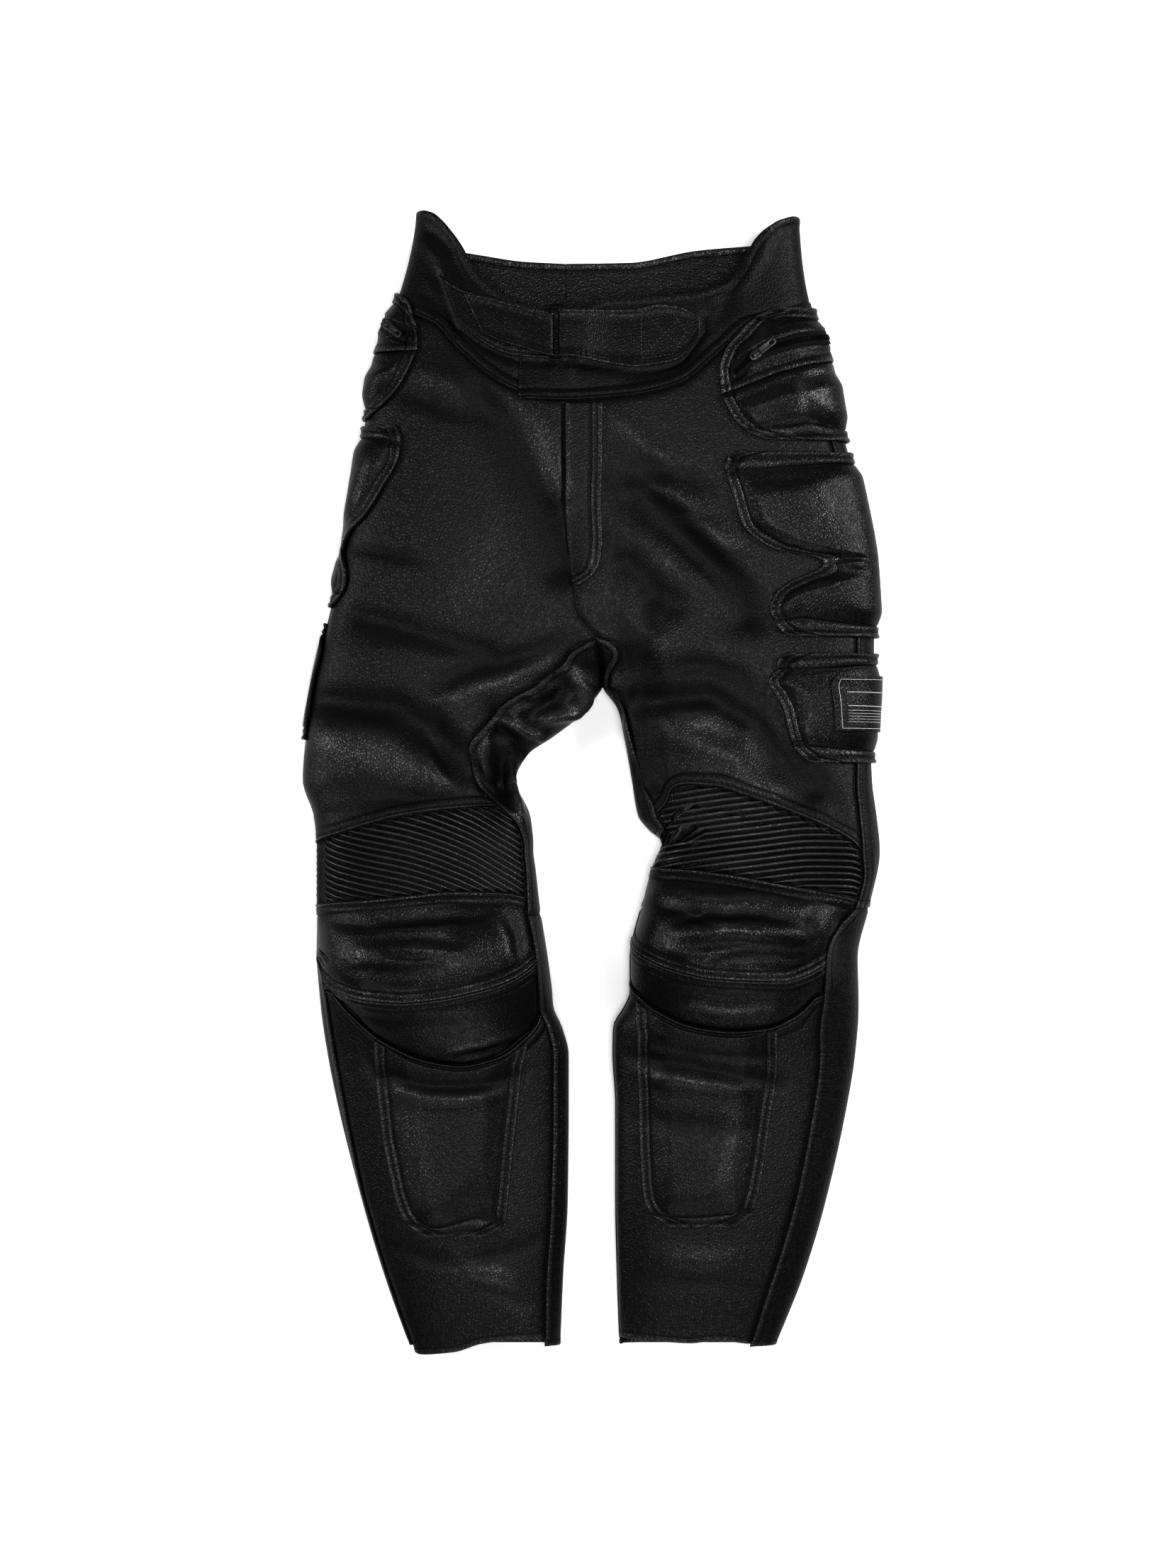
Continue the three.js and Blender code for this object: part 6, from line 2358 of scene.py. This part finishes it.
    def on_holder(self, path: Points) -> StitchLine:
        """A stitch line on the holder, from plan points.

        Args:
            path: the plan points.

        Returns:
            Its points and normals.
        """
        t = np.arange(len(path))
        dense = np.linspace(0, len(path) - 1, 40 * (len(path) - 1))
        x, y = np.interp(dense, t, [p[0] for p in path]), np.interp(dense, t, [p[1] for p in path])
        a = SKIN.around(Side.LEFT, x, y)
        normal = SKIN.outward(Side.LEFT, a, y)
        return SKIN.point(Side.LEFT, a, y) + normal * (self.low_run + self.thick / 2 + self.puff), normal


# How near points are joined, what counts as flat, and which edges are rounded and smoothed
WELD = 1e-6
FLAT_ANGLE = math.radians(1)
EDGE_ANGLE = math.radians(35)
SMOOTH_ANGLE = math.radians(40)


def polish(metal: bpy.types.Material, node: str, bevel: float, body: str) -> bpy.types.Object:
    """A metal piece on its solid's own form, with its edges rounded.

    Args:
        metal: its finish.
        node: the solid.
        bevel: how far its edges are rounded, in millimetres.
        body: the body that it moves with.

    Returns:
        The object.
    """
    source = bpy.data.objects[node]
    mesh = source.data.copy()
    made = bpy.data.objects.new(f"{node}_plated", mesh)
    bpy.context.scene.collection.objects.link(made)
    shape = bmesh.new()
    shape.from_mesh(mesh)
    bmesh.ops.remove_doubles(shape, verts=shape.verts, dist=WELD)
    bmesh.ops.dissolve_limit(shape, angle_limit=FLAT_ANGLE, verts=shape.verts, edges=shape.edges)
    shape.to_mesh(mesh)
    shape.free()
    mesh.materials.clear()
    mesh.materials.append(metal)
    select_only(made)
    modifier = made.modifiers.new("round", "BEVEL")
    modifier.width = bevel * MM
    modifier.segments = 2
    modifier.limit_method = "ANGLE"
    modifier.angle_limit = EDGE_ANGLE
    bpy.ops.object.modifier_apply(modifier=modifier.name)
    bpy.ops.object.shade_smooth_by_angle(angle=SMOOTH_ANGLE)
    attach(made, body)
    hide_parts(node)
    return made


def select_only(made: bpy.types.Object) -> None:
    """Selects one object alone and makes it active.

    Args:
        made: the object.
    """
    bpy.ops.object.select_all(action="DESELECT")
    made.select_set(True)
    bpy.context.view_layer.objects.active = made


@dataclass
class HipZip:
    """The zip in a hip pocket: its tape and teeth, its slider and its pull tab."""

    side: Side
    shop: Workshop
    pitch: float = 2.3
    tooth: tuple[float, float, float] = (2.9, 1.1, 1.2)
    tooth_reach: float = 0.3
    tooth_shoulder: float = 0.7
    tooth_tip: float = 0.6
    tape_half: float = 6.6
    tape_thick: float = 0.35
    sunk: float = 1.15

    def path(self) -> Array:
        """The line that the zip follows on the skin.

        Returns:
            Its points.
        """
        if self.side is Side.LEFT:
            plan = [(128, 366), (147, 382), (168, 391), (194, 398), (212, 401)]
            knots = [(float(SKIN.around(self.side, x, y)), y) for x, y in plan]
        else:
            start = [(float(SKIN.around(self.side, x, y)), y) for x, y in ((-162, 401), (-177, 409))]
            knots = [*start, (0.92, 414), (1.08, 418)]
        t = np.linspace(0, len(knots) - 1, 90)
        a = Curve([(k, knot[0]) for k, knot in enumerate(knots)])(t)
        y = Curve([(k, knot[1]) for k, knot in enumerate(knots)])(t)
        self.places = (a, y)
        return SKIN.point(self.side, a, y)

    def build(self) -> None:
        """Makes the tape with its teeth, and rounds the slider and the pull tab."""
        points = self.path()
        a, y = self.places
        normal = SKIN.outward(self.side, a, y)
        way = unit(np.gradient(points, axis=0))
        across = np.cross(normal, way)
        seat = points + normal * (PAD_LIFT + PAD_THICK + POCKET_PUFF - self.sunk)
        rims = np.array([-1.0, -0.5, 0, 0.5, 1.0]) * self.tape_half
        outer = seat[None] + across[None] * rims[:, None, None]
        tape = wall(outer, outer - normal[None] * self.tape_thick, False, None, None)
        made = tape.link(f"zip_tape_{self.side.tag}", self.shop.tape)
        repair_normals(made)
        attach(made, BODY)
        self.teeth(seat, way, across, normal)
        polish(self.shop.metal, f"zip_slider_{self.side.tag}", 0.25, BODY)
        polish(self.shop.metal, f"zip_pull_{self.side.tag}", 0.22, f"pull_{self.side.tag}")

    def teeth(self, seat: Array, way: Array, across: Array, normal: Array) -> None:
        """The teeth, which mesh from both tapes.

        Args:
            seat: the line that they stand on.
            way: the direction of the line.
            across: the direction across it.
            normal: the direction outwards.
        """
        run = run_along(seat)
        long, wide, high = self.tooth
        points, faces = [], []
        for k in range(int(run[-1] / self.pitch * 2) - 2):
            at = (k + 1) * self.pitch / 2
            middle, w, s, n = [
                np.array([np.interp(at, run, line[:, c]) for c in range(3)])
                for line in (seat, way, across, normal)
            ]
            hand = 1 if k % 2 else -1
            middle = middle + s * hand * long * self.tooth_reach
            base = len(points)
            for dn in (0.0, high * self.tooth_shoulder, high):
                shrink = self.tooth_tip if dn == high else 1.0
                for dw, ds in ((-1, -1), (1, -1), (1, 1), (-1, 1)):
                    points.append(middle + w * dw * wide / 2 * shrink + s * ds * long / 2 * shrink + n * dn)
            faces += [*tube(base), *tube(base + 4)]
            faces.append((base + 8, base + 9, base + 10, base + 11))
            faces.append((base + 3, base + 2, base + 1, base))
        made = Mesh(np.array(points), faces).link(f"zip_teeth_{self.side.tag}", self.shop.dark_metal)
        repair_normals(made)
        for polygon in made.data.polygons:
            polygon.use_smooth = False
        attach(made, BODY)


@dataclass
class Studio:
    """A plain pale floor, soft lights and the camera straight above."""

    frame_high: float = 1.4157
    lens: float = 85.0
    sensor: float = 36.0
    middle: tuple[float, float] = (-0.0016, -0.00064)
    mid_height: float = 0.03
    gamma: float = 0.6
    sky: float = 0.04
    floor_size: float = 14
    floor_drop: float = 0.0004
    floor_shade: float = 0.97
    floor_roughness: float = 0.9
    floor_glow: float = 0.34

    LIGHTS = (
        ("overhead", (0.25, -0.25, 4.0), 1.1, 74),
        ("key", (2.2, 0.8, 1.6), 1.0, 50),
        ("fill_left", (-2.3, 0.2, 1.5), 1.0, 38),
        ("fill_low", (0.1, -2.7, 1.6), 1.2, 26),
        ("fill_top", (-0.3, 2.6, 1.8), 1.2, 10),
    )

    def build(self) -> None:
        """Sets the stage."""
        scene = bpy.context.scene
        scene.view_settings.view_transform = "Standard"
        scene.view_settings.gamma = self.gamma
        world = bpy.data.worlds.new("studio")
        scene.world = world
        world.use_nodes = True
        sky = world.node_tree.nodes["Background"].inputs
        sky["Color"].default_value = (1, 1, 1, 1)
        sky["Strength"].default_value = self.sky
        self.floor()
        for row in self.LIGHTS:
            self.light(*row)
        self.camera()

    def floor(self) -> None:
        """A pale floor, level with the surface that the trousers lie on."""
        bpy.ops.object.select_all(action="DESELECT")
        bpy.ops.mesh.primitive_plane_add(size=self.floor_size, location=(0, 0, -self.floor_drop))
        floor = bpy.context.object
        floor.name = "studio_floor"
        n = Nodes("floor_paper")
        n.shader.inputs["Base Color"].default_value = (*(self.floor_shade,) * 3, 1)
        n.shader.inputs["Roughness"].default_value = self.floor_roughness
        n.shader.inputs["Emission Color"].default_value = (1, 1, 1, 1)
        n.shader.inputs["Emission Strength"].default_value = self.floor_glow
        n.shader.inputs["Specular IOR Level"].default_value = 0.0
        floor.data.materials.append(n.material)

    def light(self, name: str, at: tuple[float, float, float], size: float, watts: float) -> None:
        """A square soft light that faces the trousers.

        Args:
            name: its name.
            at: where it stands.
            size: its side.
            watts: its power.
        """
        lamp = bpy.data.lights.new(name, "AREA")
        lamp.size = size
        lamp.energy = watts
        made = bpy.data.objects.new(name, lamp)
        made.location = at
        made.rotation_euler = (Vector((0, 0, 0)) - Vector(at)).to_track_quat("-Z", "Y").to_euler()
        bpy.context.scene.collection.objects.link(made)

    def camera(self) -> None:
        """The camera, straight above with the waist at the top of the picture."""
        data = bpy.data.cameras.new("camera")
        data.lens = self.lens
        data.sensor_width = self.sensor
        data.sensor_fit = "AUTO"
        made = bpy.data.objects.new("camera", data)
        distance = self.lens / self.sensor * self.frame_high
        made.location = (*self.middle, distance + self.mid_height)
        made.matrix_world = Matrix.Translation(made.location)
        bpy.context.scene.collection.objects.link(made)
        bpy.context.scene.camera = made


def main() -> None:
    """Builds the trousers and the studio."""
    logging.basicConfig(level=logging.INFO, format="%(name)s: %(message)s")
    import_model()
    shop = Workshop.open()
    for side in Side:
        Leg(side, shop).build()
    Waistband(shop).build()
    for side in Side:
        fastening = HipZip(side, shop)
        Padding(side, shop).build(fastening.path())
        fastening.build()
    Front(shop).build()
    WaistStrap(shop).build()
    Studio().build()


if __name__ == "__main__":
    main()
